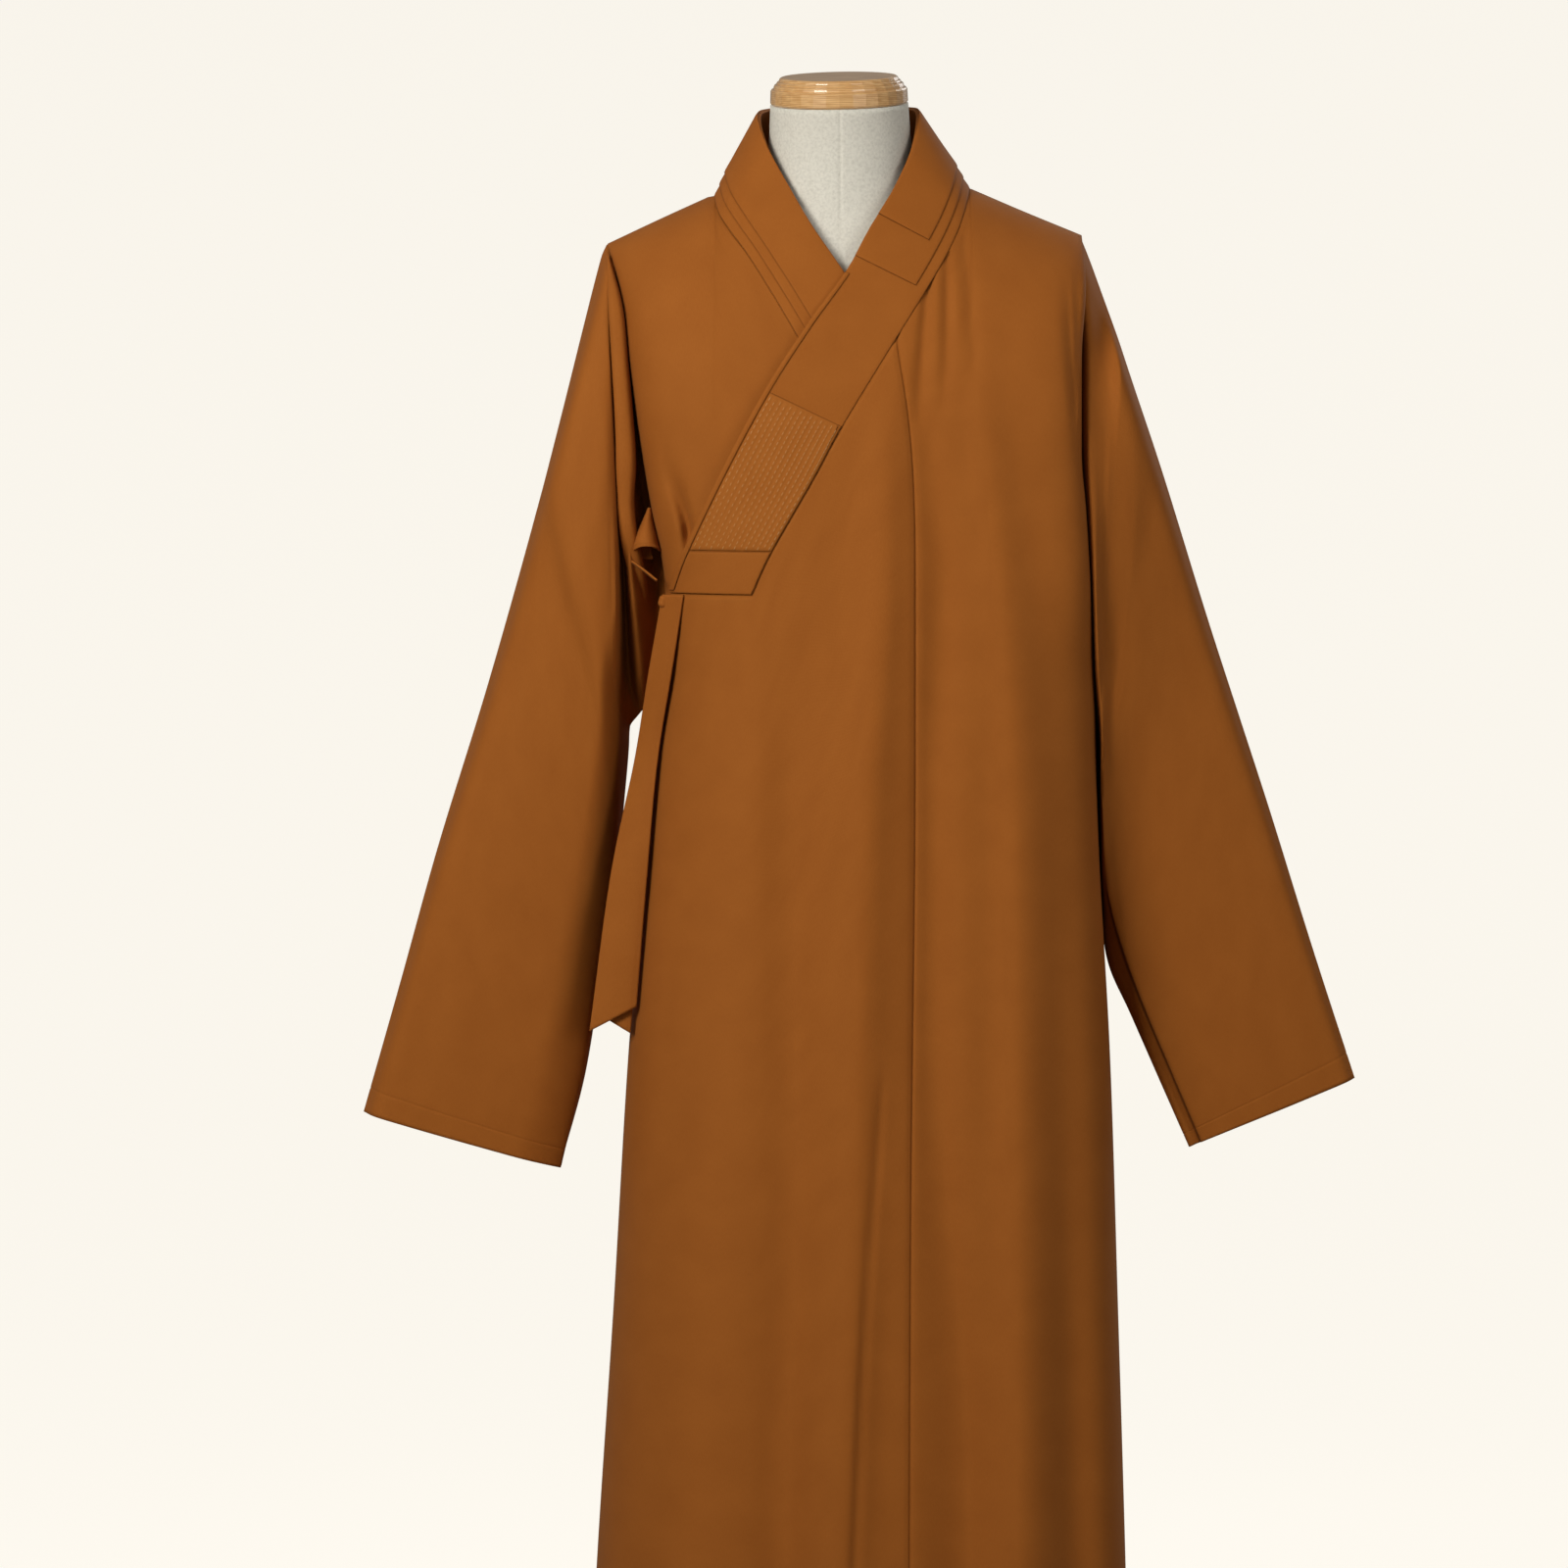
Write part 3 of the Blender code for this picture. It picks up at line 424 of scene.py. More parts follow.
OCHRE_LIGHT, OCHRE_DARK = (0.318, 0.097, 0.0150, 1.0), (0.272, 0.079, 0.0115, 1.0)
TWILL_PITCH = 0.0006
# SEAM_SHADE is painted shade: the dark colour mixed in where seams and creases would lie in shadow.
SEAM_SHADE = (0.115, 0.0310, 0.0045, 1.0)
CLOTH = 0.0016
HEM = 0.150
SHOULDER_ROLL_START = 1.280
SHOULDER_Y = 0.010
ROLL_SHARE = 0.72
GAP = 0.0003
UNDERLAP = 0.0080
SIDE_UNDERLAP = 0.0028
BAND_END = 1.138
LEFT_FLATNESS = 0.50
LEFT_SIDE_LEAD = 0.026
LEAD_FROM, LEAD_TO = 1.060, 1.160
COVER_FROM, COVER_TO = 1.085, 1.135
LAP_DEGREES, LAP_FROM, LAP_TO = 2.5, 0.980, 1.060
OVERLAP_DEGREES, OVERLAP_DRAWN_IN, DRAWN_FROM, DRAWN_TO = -86.0, 14.0, 0.950, 1.120


def ochre_cloth(name, light, dark):
    """Twill: fine slanted ribs from a diagonal wave of the UV map and stretched noise threads, with
    a soft mottle.

    The piece's seam_shade attribute mixes in painted shade beside its seams and creases.
    """
    paint = Paint(name)
    place = paint.node("ShaderNodeTexCoord", output="UV")
    ribs = paint.wave(place, WAVE_LENGTH / TWILL_PITCH, "DIAGONAL", 0.6, 1.0)
    threads = paint.noise(paint.stretched(place, (1400.0, 260.0, 1.0)), 1.0, 2.0)
    cloud = paint.noise(place, 26.0, 4.0)
    mottle = paint.maths(
        "ADD", paint.maths("MULTIPLY", threads, 0.5), paint.maths("MULTIPLY", cloud, 0.5)
    )
    relief = paint.maths("ADD", ribs, paint.maths("MULTIPLY", threads, 0.8))
    # Painted shade: the seam_shade attribute mixes the dark SEAM_SHADE colour into the cloth.
    seam_shade = paint.node("ShaderNodeAttribute", output="Fac", attribute_name="seam_shade")
    shaded = paint.node(
        "ShaderNodeMix",
        {0: seam_shade, 6: paint.ramp(mottle, (0.30, dark), (0.70, light)), 7: SEAM_SHADE},
        output=2,
        data_type="RGBA",
    )
    paint.set(
        Base_Color=shaded, Roughness=0.72, Specular_IOR_Level=0.22,
        Specular_Tint=(1.0, 0.66, 0.30, 1.0), Sheen_Weight=0.06, Sheen_Roughness=0.45,
        Sheen_Tint=(1.0, 0.60, 0.25, 1.0), Normal=paint.bump(relief, 0.35, 0.00012),
    )
    return paint.material


OCHRE = ochre_cloth("ochre_twill", OCHRE_LIGHT, OCHRE_DARK)

BODY = table(
    "height right left front back front_side back_side square",
    (150, -223, 256, -186, 172, 0, 0, 800),
    (270, -216.6, 253, -182, 168, 0, 0, 800),
    (500, -201.5, 246, -172, 158, 0, 0, 800),
    (740, -187, 238, -161, 146, 0, 0, 800),
    (930, -171, 227.5, -152, 134, 0, 0, 780),
    (1050, -160, 224.5, -146, 126, 0, 0, 740),
    (1139, -154.5, 220, -141, 122, -24, 24, 680),
    (1212, -166.5, 215, -137, 120, -34, 34, 660),
    (1262, -175, 211, -134, 118, -36, 36, 660),
    (1346, -187, 211.5, -128, 115, -34, 36, 680),
    (1412, -196, 216, -124, 112, -32, 36, 720),
    (1450, -207, 214, -122, 110, -30, 34, 760),
)
RIDGE = table(
    "across height",
    (-207, 1446),
    (-158, 1469),
    (-110, 1490.8),
    (0, 1540),
    (114.5, 1495.6),
    (158, 1477),
    (214, 1454),
)
BAND_LINES = table(
    "seam_x seam_z edge_x edge_y edge_z chest underlap",
    (-77, 1138, -150, -100, 1139, 1000, 0),
    (-60, 1175, -136.5, -100, 1176, 1000, 0),
    (-25, 1236, -102, -100, 1249, 1000, 0),
    (1, 1284, -66, -110, 1316, 1000, 0),
    (35, 1340, -30, -110, 1372, 1000, 0),
    (65, 1388, 4, -110, 1419, 1000, 0),
    (88, 1426, 25, -84, 1457, 800, 0),
    (102, 1454, 46, -60, 1492, 300, 0),
    (109.5, 1475, 62, -34, 1528, 0, 0),
    (114.5, 1495, 68, 2, 1560, 0, 0),
    (93, 1493, 57, 48, 1568, 0, 0),
    (50, 1490, 30, 71, 1572, 0, 0),
    (0, 1489, 0, 79, 1573, 0, 0),
    (-50, 1489, -30, 71, 1572, 0, 0),
    (-92, 1490, -58, 48, 1567, 0, 0),
    (-111, 1488, -71, 2, 1558, 0, 0),
    (-107, 1472, -63, -34, 1529, 0, 100),
    (-97, 1456, -44, -60, 1493, 300, 500),
    (-79, 1431, -24, -84, 1458, 800, 1000),
    (-52, 1387, 3, -110, 1418, 1000, 1000),
    (-25, 1340, 32, -110, 1372, 1000, 1000),
    (3, 1290, 60, -110, 1322, 1000, 1000),
)
LEFT_SHOULDER_STATION, RIGHT_SHOULDER_STATION, LAST_STATION = 9.0, 15.0, 21.0
NECKBAND = {"station": np.arange(LAST_STATION + 1.0), **BAND_LINES}
GUIDES = table(
    "height centre_front left_neck band_corner right_neck under_edge neck_back",
    (150, 59, 165, -80, -140, 40, 118),
    (600, 61, 150, -78, -130, 30, 117),
    (1000, 65, 138, -77, -120, 12, 116),
    (1135, 65, 132, -77, -117, 2, 116),
    (1290, 59, 124, -77, -114, -3, 116),
    (1362, 48, 120, -77, -113, -3, 116),
    (1496, 30, 116.5, -77, -113, -3, 116.5),
)


def fold(*rows):
    """Fold or crease, its rows in millimetres: height, x, stand, spread to the right and left."""
    return table("height x stand right left", *rows)


FRONT_FOLDS = (
    fold((150, 160, 18, 22, 30), (280, 160, 18, 22, 30), (445, 159, 16.5, 22, 28),
         (620, 158, 14.5, 22, 28), (794, 157, 12, 20, 26), (968, 155, 11, 20, 26),
         (1142, 142, 9, 18, 22), (1272, 127, 5, 16, 18), (1380, 118, 0, 14, 16)),
    fold((150, 207, -11, 18, 20), (280, 205, -11, 18, 20), (445, 203, -9, 18, 20),
         (620, 200, -6, 18, 20), (968, 194, -2.5, 20, 22), (1142, 184, -1, 20, 20),
         (1270, 176, 0, 20, 20)),
    fold((150, 106, -14, 32, 18), (280, 107, -14, 32, 18), (445, 104, -13, 32, 18),
         (620, 88, -11, 24, 18), (794, 80, -11, 22, 20), (968, 80, -10, 20, 20),
         (1142, 88, -8.5, 18, 18), (1272, 76, -3.5, 16, 14), (1360, 72, 0, 14, 14)),
    fold((150, 6, -3.2, 3.5, 4.5), (272, 10.4, -3.2, 3.5, 4.5), (525, 21.8, -3, 3.5, 4.5),
         (690, 34, -1.8, 4, 4), (735, 36.5, 0, 4, 4)),
    fold((150, -4, 12.5, 28, 22), (280, 0, 12.5, 28, 22), (445, 7, 12, 26, 20),
         (620, 13, 11, 26, 22), (794, 18, 11, 26, 22), (968, 24, 11, 28, 20), (1142, 36, 9, 26, 18),
         (1272, 37, 4.5, 22, 18), (1350, 34, 0, 22, 18)),
    fold((150, -56, -13, 28, 22), (280, -52, -13, 28, 22), (445, -47, -12.5, 28, 20),
         (620, -42, -10, 26, 20), (968, -44, -6.5, 22, 20), (1110, -44, 0, 20, 20)),
    fold((150, -142, 8, 30, 34), (445, -130, 7, 30, 34), (620, -118, 6, 30, 34),
         (794, -104, 4.5, 30, 32), (968, -90, 3.5, 26, 28), (1090, -82, 0, 26, 28)),
    fold((1270, 64, 0, 7, 7), (1320, 69, -3, 6, 7), (1375, 73, -4.6, 5, 6), (1415, 76, -3.4, 4, 5)),
    fold((1290, 88, 0, 6, 6), (1340, 92, -3, 6, 6), (1395, 93, -4.2, 5, 5), (1435, 93, -3, 4, 4)),
    fold((1310, 118, 0, 8, 8), (1360, 115, -2.2, 7, 7), (1420, 111, -2.6, 6, 6),
         (1455, 108, -1.4, 5, 5)),
    fold((1250, 207.5, 0, 4, 3), (1300, 204, -3, 5, 3), (1360, 200, -4.5, 6, 3),
         (1395, 199, -3, 6, 3), (1425, 198.5, 0, 6, 3)),
    fold((1288, 206, 0, 4, 4), (1320, 206.5, -4.5, 4, 4), (1368, 207.5, -7, 6, 5),
         (1407, 208, -5, 6, 5), (1435, 211, 0, 6, 6)),
)
SKIRT_FOLDS = FRONT_FOLDS[:7]
UNDER_FRONT_FOLDS = (
    fold((1172, -133, -4, 5, 5), (1192, -133, -20.5, 5, 5), (1212, -138, -15.5, 5.5, 5),
         (1245, -150, -4, 8, 8), (1290, -158, 0, 10, 10)),
)
BACK_FOLDS = (
    fold((150, -165, 13, 22, 18), (600, -150, 10, 20, 18), (1000, -130, 4, 18, 18),
         (1180, -120, 0, 18, 18)),
    fold((150, -105, -11, 18, 16), (600, -100, -9, 18, 14), (1050, -90, -4, 16, 16),
         (1260, -82, 0, 16, 16)),
    fold((150, -48, 11, 12, 22), (500, -46, 9, 14, 20), (1000, -42, 5, 18, 18),
         (1320, -40, 0, 18, 18)),
    fold((150, 40, -9, 18, 14), (700, 36, -7, 18, 16), (1230, 30, 0, 16, 16)),
    fold((150, 95, 12, 20, 10), (450, 92, 10, 20, 12), (900, 82, 6, 18, 18), (1310, 75, 0, 18, 18)),
    fold((150, 155, -11, 14, 18), (700, 140, -8, 14, 18), (1190, 120, 0, 16, 16)),
    fold((150, 205, 11, 18, 14), (700, 185, 8, 18, 16), (1110, 160, 0, 18, 18)),
    fold((150, -6, -4, 8, 8), (800, -12, -3, 10, 10), (1380, -10, 0, 12, 12)),
)
SEAM_ROLL_WIDTH, SEAM_ROLL_DEPTH = 0.0030, 0.0014


def squared(value, power):
    """A sine or cosine raised to a power with its sign kept: below 1 it squares an ellipse."""
    return np.sign(value) * np.abs(value) ** power


def fold_stand(folds, x, height):
    """Sum of the folds: bell curves across, each with its own spread to either side."""
    total = np.zeros_like(x)
    for fold in folds:
        apart = x - read(fold, "x", height)
        spread = np.where(apart < 0.0, read(fold, "right", height), read(fold, "left", height))
        inside = (height >= fold["height"][0] - 0.001) & (height <= fold["height"][-1] + 0.001)
        total += inside * read(fold, "stand", height) * np.exp(-((apart / spread) ** 2))
    return total


def body_edges(height, underlap):
    """Right and left edge of the body; what lies under the overlap is narrower on the right."""
    covered = 1.0 - smooth(COVER_FROM, COVER_TO, height)
    right = read(BODY, "right", height) + SIDE_UNDERLAP * underlap * covered
    return right, read(BODY, "left", height)


def body_cloth(sine, cosine, height, face, underlap, front_folds=None):
    """Squared half ellipse of the front (face -1) or the back (face 1), with its folds.

    The front's left half is squarer than its right one, so that its cloth lies flatter.
    """
    right, left = body_edges(height, underlap)
    power = read(BODY, "square", height)
    x = (right + left) / 2 + (left - right) / 2 * squared(sine, power)
    name = "front" if face < 0 else "back"
    folds = BACK_FOLDS if face > 0 else front_folds or FRONT_FOLDS
    reach = read(BODY, name, height) + face * fold_stand(folds, x, height)
    if face < 0 and underlap > 0.0:
        reach = reach + UNDERLAP * underlap - fold_stand(UNDER_FRONT_FOLDS, x, height)
    seam_x = read(GUIDES, "centre_front", height) if face < 0 else 0.0
    if front_folds is None and (face > 0 or underlap == 0.0):
        reach = reach - face * SEAM_ROLL_DEPTH * np.exp(-(((x - seam_x) / SEAM_ROLL_WIDTH) ** 2))
    side = read(BODY, name + "_side", height)
    if face < 0:
        power = power * (1.0 - LEFT_FLATNESS * smooth(0.0, 0.8, sine))
        side = side - LEFT_SIDE_LEAD * smooth(LEAD_FROM, LEAD_TO, height) * smooth(0.3, 0.9, sine)
    return x, side + (reach - side) * squared(cosine, power)


def turn_at(x, height, underlap):
    """The turn round the body, from -90 to 90 degrees, at which its cloth lies at a given x."""
    right, left = body_edges(height, underlap)
    share = np.clip((x - (right + left) / 2) / ((left - right) / 2), -1.0, 1.0)
    return np.arcsin(squared(share, 1.0 / read(BODY, "square", height)))


def seam_height(x, first, last):
    """Height at which a panel meets the neckband's seam at a given x, between two stations."""
    along = np.linspace(first, last, 400)
    seam_x = read(NECKBAND, "seam_x", along)
    order = np.argsort(seam_x)
    return np.interp(x, seam_x[order], read(NECKBAND, "seam_z", along)[order])


def spread_turns(share, turns, shares):
    """Turn at a share across a panel, straight between its guide lines."""
    turn = turns[0]
    for i in range(len(turns) - 1):
        part = np.clip((share - shares[i]) / (shares[i + 1] - shares[i]), 0.0, 1.0)
        turn = turn + (turns[i + 1] - turns[i]) * part
    return turn


def panel(u, v, face, guides, shares, top, underlap, rolls):
    """Body panel: each column climbs from the hem to its own top and may roll over the shoulder.

    Below the roll the height is straight in v; above it, height and depth follow the sine and
    cosine of one swing, a quarter ellipse that ends on the shoulder line.
    """

    def turn(height):
        lines = [
            turn_at(read(GUIDES, guide, height), height, underlap)
            if isinstance(guide, str)
            else guide(height)
            for guide in guides
        ]
        return spread_turns(u, lines, shares)

    column_top = np.full_like(u, 1.40)
    for _ in range(8):
        angle = turn(column_top)
        x = body_cloth(np.sin(angle), np.cos(angle), column_top, face, underlap)[0]
        column_top = top(x)
    ridge = read(RIDGE, "height", x)
    climb = np.clip((column_top - SHOULDER_ROLL_START) / (ridge - SHOULDER_ROLL_START), 0, 1)
    if rolls:
        swing = np.arcsin(climb) * np.maximum(v - ROLL_SHARE, 0.0) / (1.0 - ROLL_SHARE)
        low = HEM + (SHOULDER_ROLL_START - HEM) * np.minimum(v / ROLL_SHARE, 1.0)
        height = low + (ridge - SHOULDER_ROLL_START) * np.sin(swing)
        cosine = np.cos(swing)
    else:
        height = HEM + (column_top - HEM) * v
        climb = np.clip((height - SHOULDER_ROLL_START) / (ridge - SHOULDER_ROLL_START), 0, 1)
        cosine = np.sqrt(1.0 - climb**2)
    angle = turn(height)
    x, y = body_cloth(np.sin(angle), np.cos(angle), height, face, underlap)
    return np.stack([x, SHOULDER_Y + (y - SHOULDER_Y) * cosine, height], axis=-1)


def ridge_or_seam(first, last):
    """Top of a panel: the shoulder line, or the neckband's seam where that is lower."""
    return lambda x: np.minimum(read(RIDGE, "height", x), seam_height(x, first, last))


def overlap_top(x):
    """Top of the overlap: along the band's seam, and level under the band's lower end."""
    return np.maximum(seam_height(x, 0.0, 5.0), BAND_END)


def lapped_side(height):
    """The right back's side edge as a turn: below the armhole it laps on to the under front."""
    return np.radians(-90.0 - LAP_DEGREES * (1.0 - smooth(LAP_FROM, LAP_TO, height)))


def body_side(side):
    """The body's right (-1) or left (1) edge as a turn."""
    return lambda height: 0.0 * height + side * math.pi / 2


def back_middle(height):
    """The middle of the back as a turn."""
    return turn_at(0.0 * height, height, 0.0)


def back_neck(side):
    """The neck's corner on the back, on one side, as a turn."""
    return lambda height: turn_at(side * read(GUIDES, "neck_back", height), height, 0.0)


def overlap_side(height):
    """Turn of the overlap's free edge: it ends just short of the right side."""
    return np.radians(OVERLAP_DEGREES + OVERLAP_DRAWN_IN * smooth(DRAWN_FROM, DRAWN_TO, height))


def steps(count, *stops):
    """Even shares between stops, with a line on each stop."""
    ends = (0.0,) + stops + (1.0,)
    parts = [
        np.linspace(a, b, max(2, round(count * (b - a)) + 1))[:-1] for a, b in zip(ends, ends[1:])
    ]
    return np.concatenate(parts + [[1.0]])


def walled(piece, thickness, offset=-1.0):
    """Give a sheet its thickness with a wall inwards of its surface."""
    wall = piece.modifiers.new("cloth_thickness", "SOLIDIFY")
    wall.thickness = thickness
    wall.offset = offset
    return piece


def cloth_piece(name, points, node=None, closed=False, flip=False):
    """A walled sheet of the robe, of ochre cloth, that rides on the body."""
    piece = walled(grid_mesh(name, points, closed=closed, flip=flip), CLOTH)
    dress(piece, OCHRE, node)
    return piece


NECK_SHARE, OVERLAP_CORNER, UNDER_NECK_SHARE = 0.42, 0.34, 0.50
front_left = cloth_piece(
    "left_front_cloth",
    panel(
        *grid(steps(84, NECK_SHARE), steps(190, ROLL_SHARE)),
        -1,
        ("centre_front", "left_neck", body_side(1)),
        (0.0, NECK_SHARE, 1.0),
        ridge_or_seam(4.0, LEFT_SHOULDER_STATION),
        0.0,
        rolls=True,
    ),
    "front_left",
)
front_overlap = cloth_piece(
    "overlap_cloth",
    panel(
        *grid(steps(104, OVERLAP_CORNER), steps(190)),
        -1,
        (overlap_side, "band_corner", "centre_front"),
        (0.0, OVERLAP_CORNER, 1.0),
        overlap_top,
        0.0,
        rolls=False,
    ),
    "front_overlap",
)
front_right = cloth_piece(
    "right_front_cloth",
    panel(
        *grid(steps(84, UNDER_NECK_SHARE), steps(190, ROLL_SHARE)),
        -1,
        (body_side(-1), "right_neck", "under_edge"),
        (0.0, UNDER_NECK_SHARE, 1.0),
        ridge_or_seam(RIGHT_SHOULDER_STATION, LAST_STATION),
        1.0,
        rolls=True,
    ),
    "front_right",
)
back_pieces = [
    cloth_piece(
        side_name + "_back_cloth",
        panel(
            *grid(steps(84, 0.5), steps(190, ROLL_SHARE)),
            1,
            (back_middle, back_neck(side), side_edge),
            (0.0, 0.5, 1.0),
            ridge_or_seam(LEFT_SHOULDER_STATION, RIGHT_SHOULDER_STATION),
            0.0,
            rolls=True,
        ),
        "back_" + side_name,
        flip=side > 0,
    )
    for side_name, side, side_edge in (("left", 1, body_side(1)), ("right", -1, lapped_side))
]

# ----------------------------------------
# Sleeves: each is one wide tube, folded flat along its upper edge and seamed under the arm. The
# cloth fans out from the shoulder in deep folds, and the cuff has a turned and stitched hem.

SHARES = (0.0, 0.07, 0.2, 0.45, 0.7, 0.9, 1.0)


def lines(**numbers):
    """Lines of numbers by name, in thousandths as in the tables."""
    return {name: np.array(line) / 1000.0 for name, line in numbers.items()}


RIGHT_ROOT = lines(
    along=(0, 20, 45, 65, 95),
    x=(
        (-206, -196.5, -188, -174, -150, -146, -148),
        (-207, -199.5, -192.5, -180.5, -164, -158, -160),
        (-208, -203, -198, -190.5, -184.5, -177, -172),
        (-209.2, -204, -200.5, -195, -190.5, -187, -179),
        (-210.5, -206, -203.7, -198.7, -197.3, -197.6, -186),
    ),
    y=(
        (10, -14, -24, -28, -24, -16, 0),
        (10, -22, -26, -20, -14, -6, 0),
        (9, -32, -52, -64, -58, -38, -4),
        (8, -33, -50, -52, -30, -14, -2),
        (7, -36, -58, -70, -74, -50, 0),
    ),
    z=(
        (1446, 1418, 1370, 1270, 1170, 1090, 1050),
        (1445, 1416, 1366, 1266, 1166, 1086, 1046),
        (1443, 1413, 1358, 1256, 1158, 1078, 1036),
        (1440.5, 1410, 1352, 1248, 1148, 1068, 1028),
        (1437.5, 1406, 1344, 1236, 1128, 1052, 1018),
    ),
)
RIGHT_SECTIONS = table(
    "along outer_x outer_z edge_x edge_z edge_y inner_x inner_z front back",
    (160, -245.5, 1300, -198, 1030, -46, -187, 1000, 80, 60),
    (300, -270, 1206, -199, 965, -34, -191, 955, 66, 52),
    (500, -313, 1054, -204.5, 885, -24, -199, 880, 54, 44),
    (700, -359, 905, -216.5, 797, -16, -213, 790, 44, 36),
    (850, -391, 790, -229, 712, -11, -227, 706, 37, 30),
    (1000, -423.5, 676, -248, 626.5, -7, -249, 626.2, 30, 24),
)
LEFT_ROOT = lines(
    along=(0, 30, 70),
    x=(
        (212.5, 211.5, 210.3, 208, 214.7, 219.5, 221.5),
        (220, 218.5, 217, 214, 218.5, 222, 224),
        (233, 230, 226.5, 221.7, 222.7, 223.8, 226.2),
    ),
    y=(
        (10, -25, -46, -60, -56, -36, 0),
        (5, -30, -60, -86, -88, -62, 0),
        (-8, -36, -66, -94, -102, -84, 0),
    ),
    z=(
        (1454, 1425, 1373, 1272, 1171, 1090, 1050),
        (1435, 1408, 1362, 1264, 1163, 1082, 1042),
        (1398, 1376, 1338, 1245, 1146, 1066, 1018),
    ),
)
LEFT_SECTIONS = table(
    "along outer_x outer_z edge_x edge_z edge_y inner_x inner_z front back",
    (120, 248, 1352, 228.8, 1026, -86, 227.6, 990, 86, 52),
    (300, 284, 1245, 230.8, 952, -70, 229.1, 920, 74, 50),
    (500, 329, 1102, 239, 871, -49, 231.6, 845, 56, 42),
    (600, 353.5, 1027.5, 251, 829, -44, 238.4, 806, 50, 39),
    (700, 378, 953, 266.5, 786, -40, 256, 767, 44, 36),
    (850, 418, 826, 294.5, 719, -33, 282.5, 707, 36, 30),
    (1000, 457, 707, 323, 652, -25, 309.5, 646, 28, 24),
)
BACK_FLATTENING = 0.85
SLEEVE_ROUNDNESS = 0.45
BACK_SAG_AT, BACK_SAG_WIDTH = 0.595, 0.036
SAG_START, SAG_FULL, SAG_FADE, SAG_END = 0.03, 0.09, 0.32, 0.52
FOLD_STEP_FROM, FOLD_STEP_TO, FOLD_STEP_FADE = 0.4080, 0.4150, 0.4350
FOLD_STEP_DEPTH, FOLD_SHADE_WIDTH = 0.0035, 0.0060
FOLD_LEAD, FOLD_LEAD_WIDTH = 0.019, 0.060
FOLD_START, FOLD_FULL = 0.42, 0.52
CUFF_HEM, CUFF_STITCH_DEPTH, CUFF_STITCH_WIDTH = 0.972, 0.0003, 0.0012


def sleeve_points(u, v, root, sections, upper_fold, back_sag):
    """Sleeve on a net of lines: u runs round from the upper fold by the front and back again.

    Each half is a cubic net. Its first rows fan out from the shoulder, its other rows are
    bulged chords from the upper fold to the inner edge, and the back half repeats the front's
    x and z with its own, flatter depth. The upper fold may lie forward, as a share of the bulge.
    The back half may sag towards the body near the inner edge, as a bell round and down.
    """
    share = np.array(SHARES)
    bulge = (2.0 * np.sqrt(share * (1.0 - share))) ** SLEEVE_ROUNDNESS
    rows = {"x": list(root["x"]), "z": list(root["z"]), "front": list(root["y"])}
    rows["back"] = [
        (line[0], *[-BACK_FLATTENING * y for y in line[1:-1]], line[-1]) for line in root["y"]
    ]
    rows["back"][0] = (0.010, 0.020, 0.028, 0.033, 0.030, 0.018, 0.000)
    for outer_x, outer_z, edge_x, edge_z, edge_y, inner_x, inner_z, front, back in zip(
        *[sections[name] for name in list(sections)[1:]]
    ):
        part = share / share[-2]
        rows["x"].append(np.append((outer_x + (edge_x - outer_x) * part)[:-1], inner_x))
        rows["z"].append(np.append((outer_z + (edge_z - outer_z) * part)[:-1], inner_z))
        lead = upper_fold * (1.0 - share) ** 3
        forward = -front * (bulge + lead * (1.0 - bulge))
        forward[-2] = edge_y
        backward = back * bulge
        backward[0] = forward[0]
        rows["front"].append(forward)
        rows["back"].append(backward)
    along = np.concatenate([root["along"], sections["along"]])
    swings = np.arccos(1.0 - 2.0 * share)
    swing = 2.0 * math.pi * np.where(u <= 0.5, u, 1.0 - u)

    def net(name):
        return curve(swings, curve(along, np.array(rows[name]), v).T, swing)

    x, z = net("x"), net("z")
    y = np.where((u <= 0.5)[:, None], net("front"), net("back"))
    sag_round = np.exp(-(((u - BACK_SAG_AT) / BACK_SAG_WIDTH) ** 2))
    sag_down = smooth(SAG_START, SAG_FULL, v) * (1.0 - smooth(SAG_FADE, SAG_END, v))
    x = x - back_sag * sag_round[:, None] * sag_down
    return np.stack([x, y, z], axis=-1)


def normals(points, closed=False):
    """Unit normals of a grid of points, from its differences along and across."""
    padded = np.concatenate([points[-1:], points, points[:1]]) if closed else points
    across = np.gradient(padded, axis=0)
    across = across[1:-1] if closed else across
    normal = np.cross(across, np.gradient(points, axis=1))
    return normal / np.maximum(np.linalg.norm(normal, axis=-1, keepdims=True), 1e-9)


sleeve_u = stretches(0.0, (0.405, 58), (0.425, 20), (1.0, 83))
sleeve_v = np.append(stretches(0.0, (0.12, 48), (0.965, 85), (0.979, 14), (1.0, 5)), 1.0)
sleeves = []
fold_step = smooth(FOLD_STEP_FROM, FOLD_STEP_TO, sleeve_u)
fold_step = fold_step * (1.0 - smooth(FOLD_STEP_FADE, 0.5, sleeve_u))
fold_middle = (FOLD_STEP_FROM + FOLD_STEP_TO) / 2
# Painted shade: a dark line along the crease of the left sleeve's folded edge, in place of its
# shadow.
fold_shade = np.exp(-(((sleeve_u - fold_middle) / FOLD_SHADE_WIDTH) ** 2))
fold_lead = np.exp(-(((sleeve_u - 0.5) / FOLD_LEAD_WIDTH) ** 2))
fold_back = FOLD_STEP_DEPTH * fold_step - FOLD_LEAD * fold_lead
fold_down = smooth(FOLD_START, FOLD_FULL, sleeve_v)
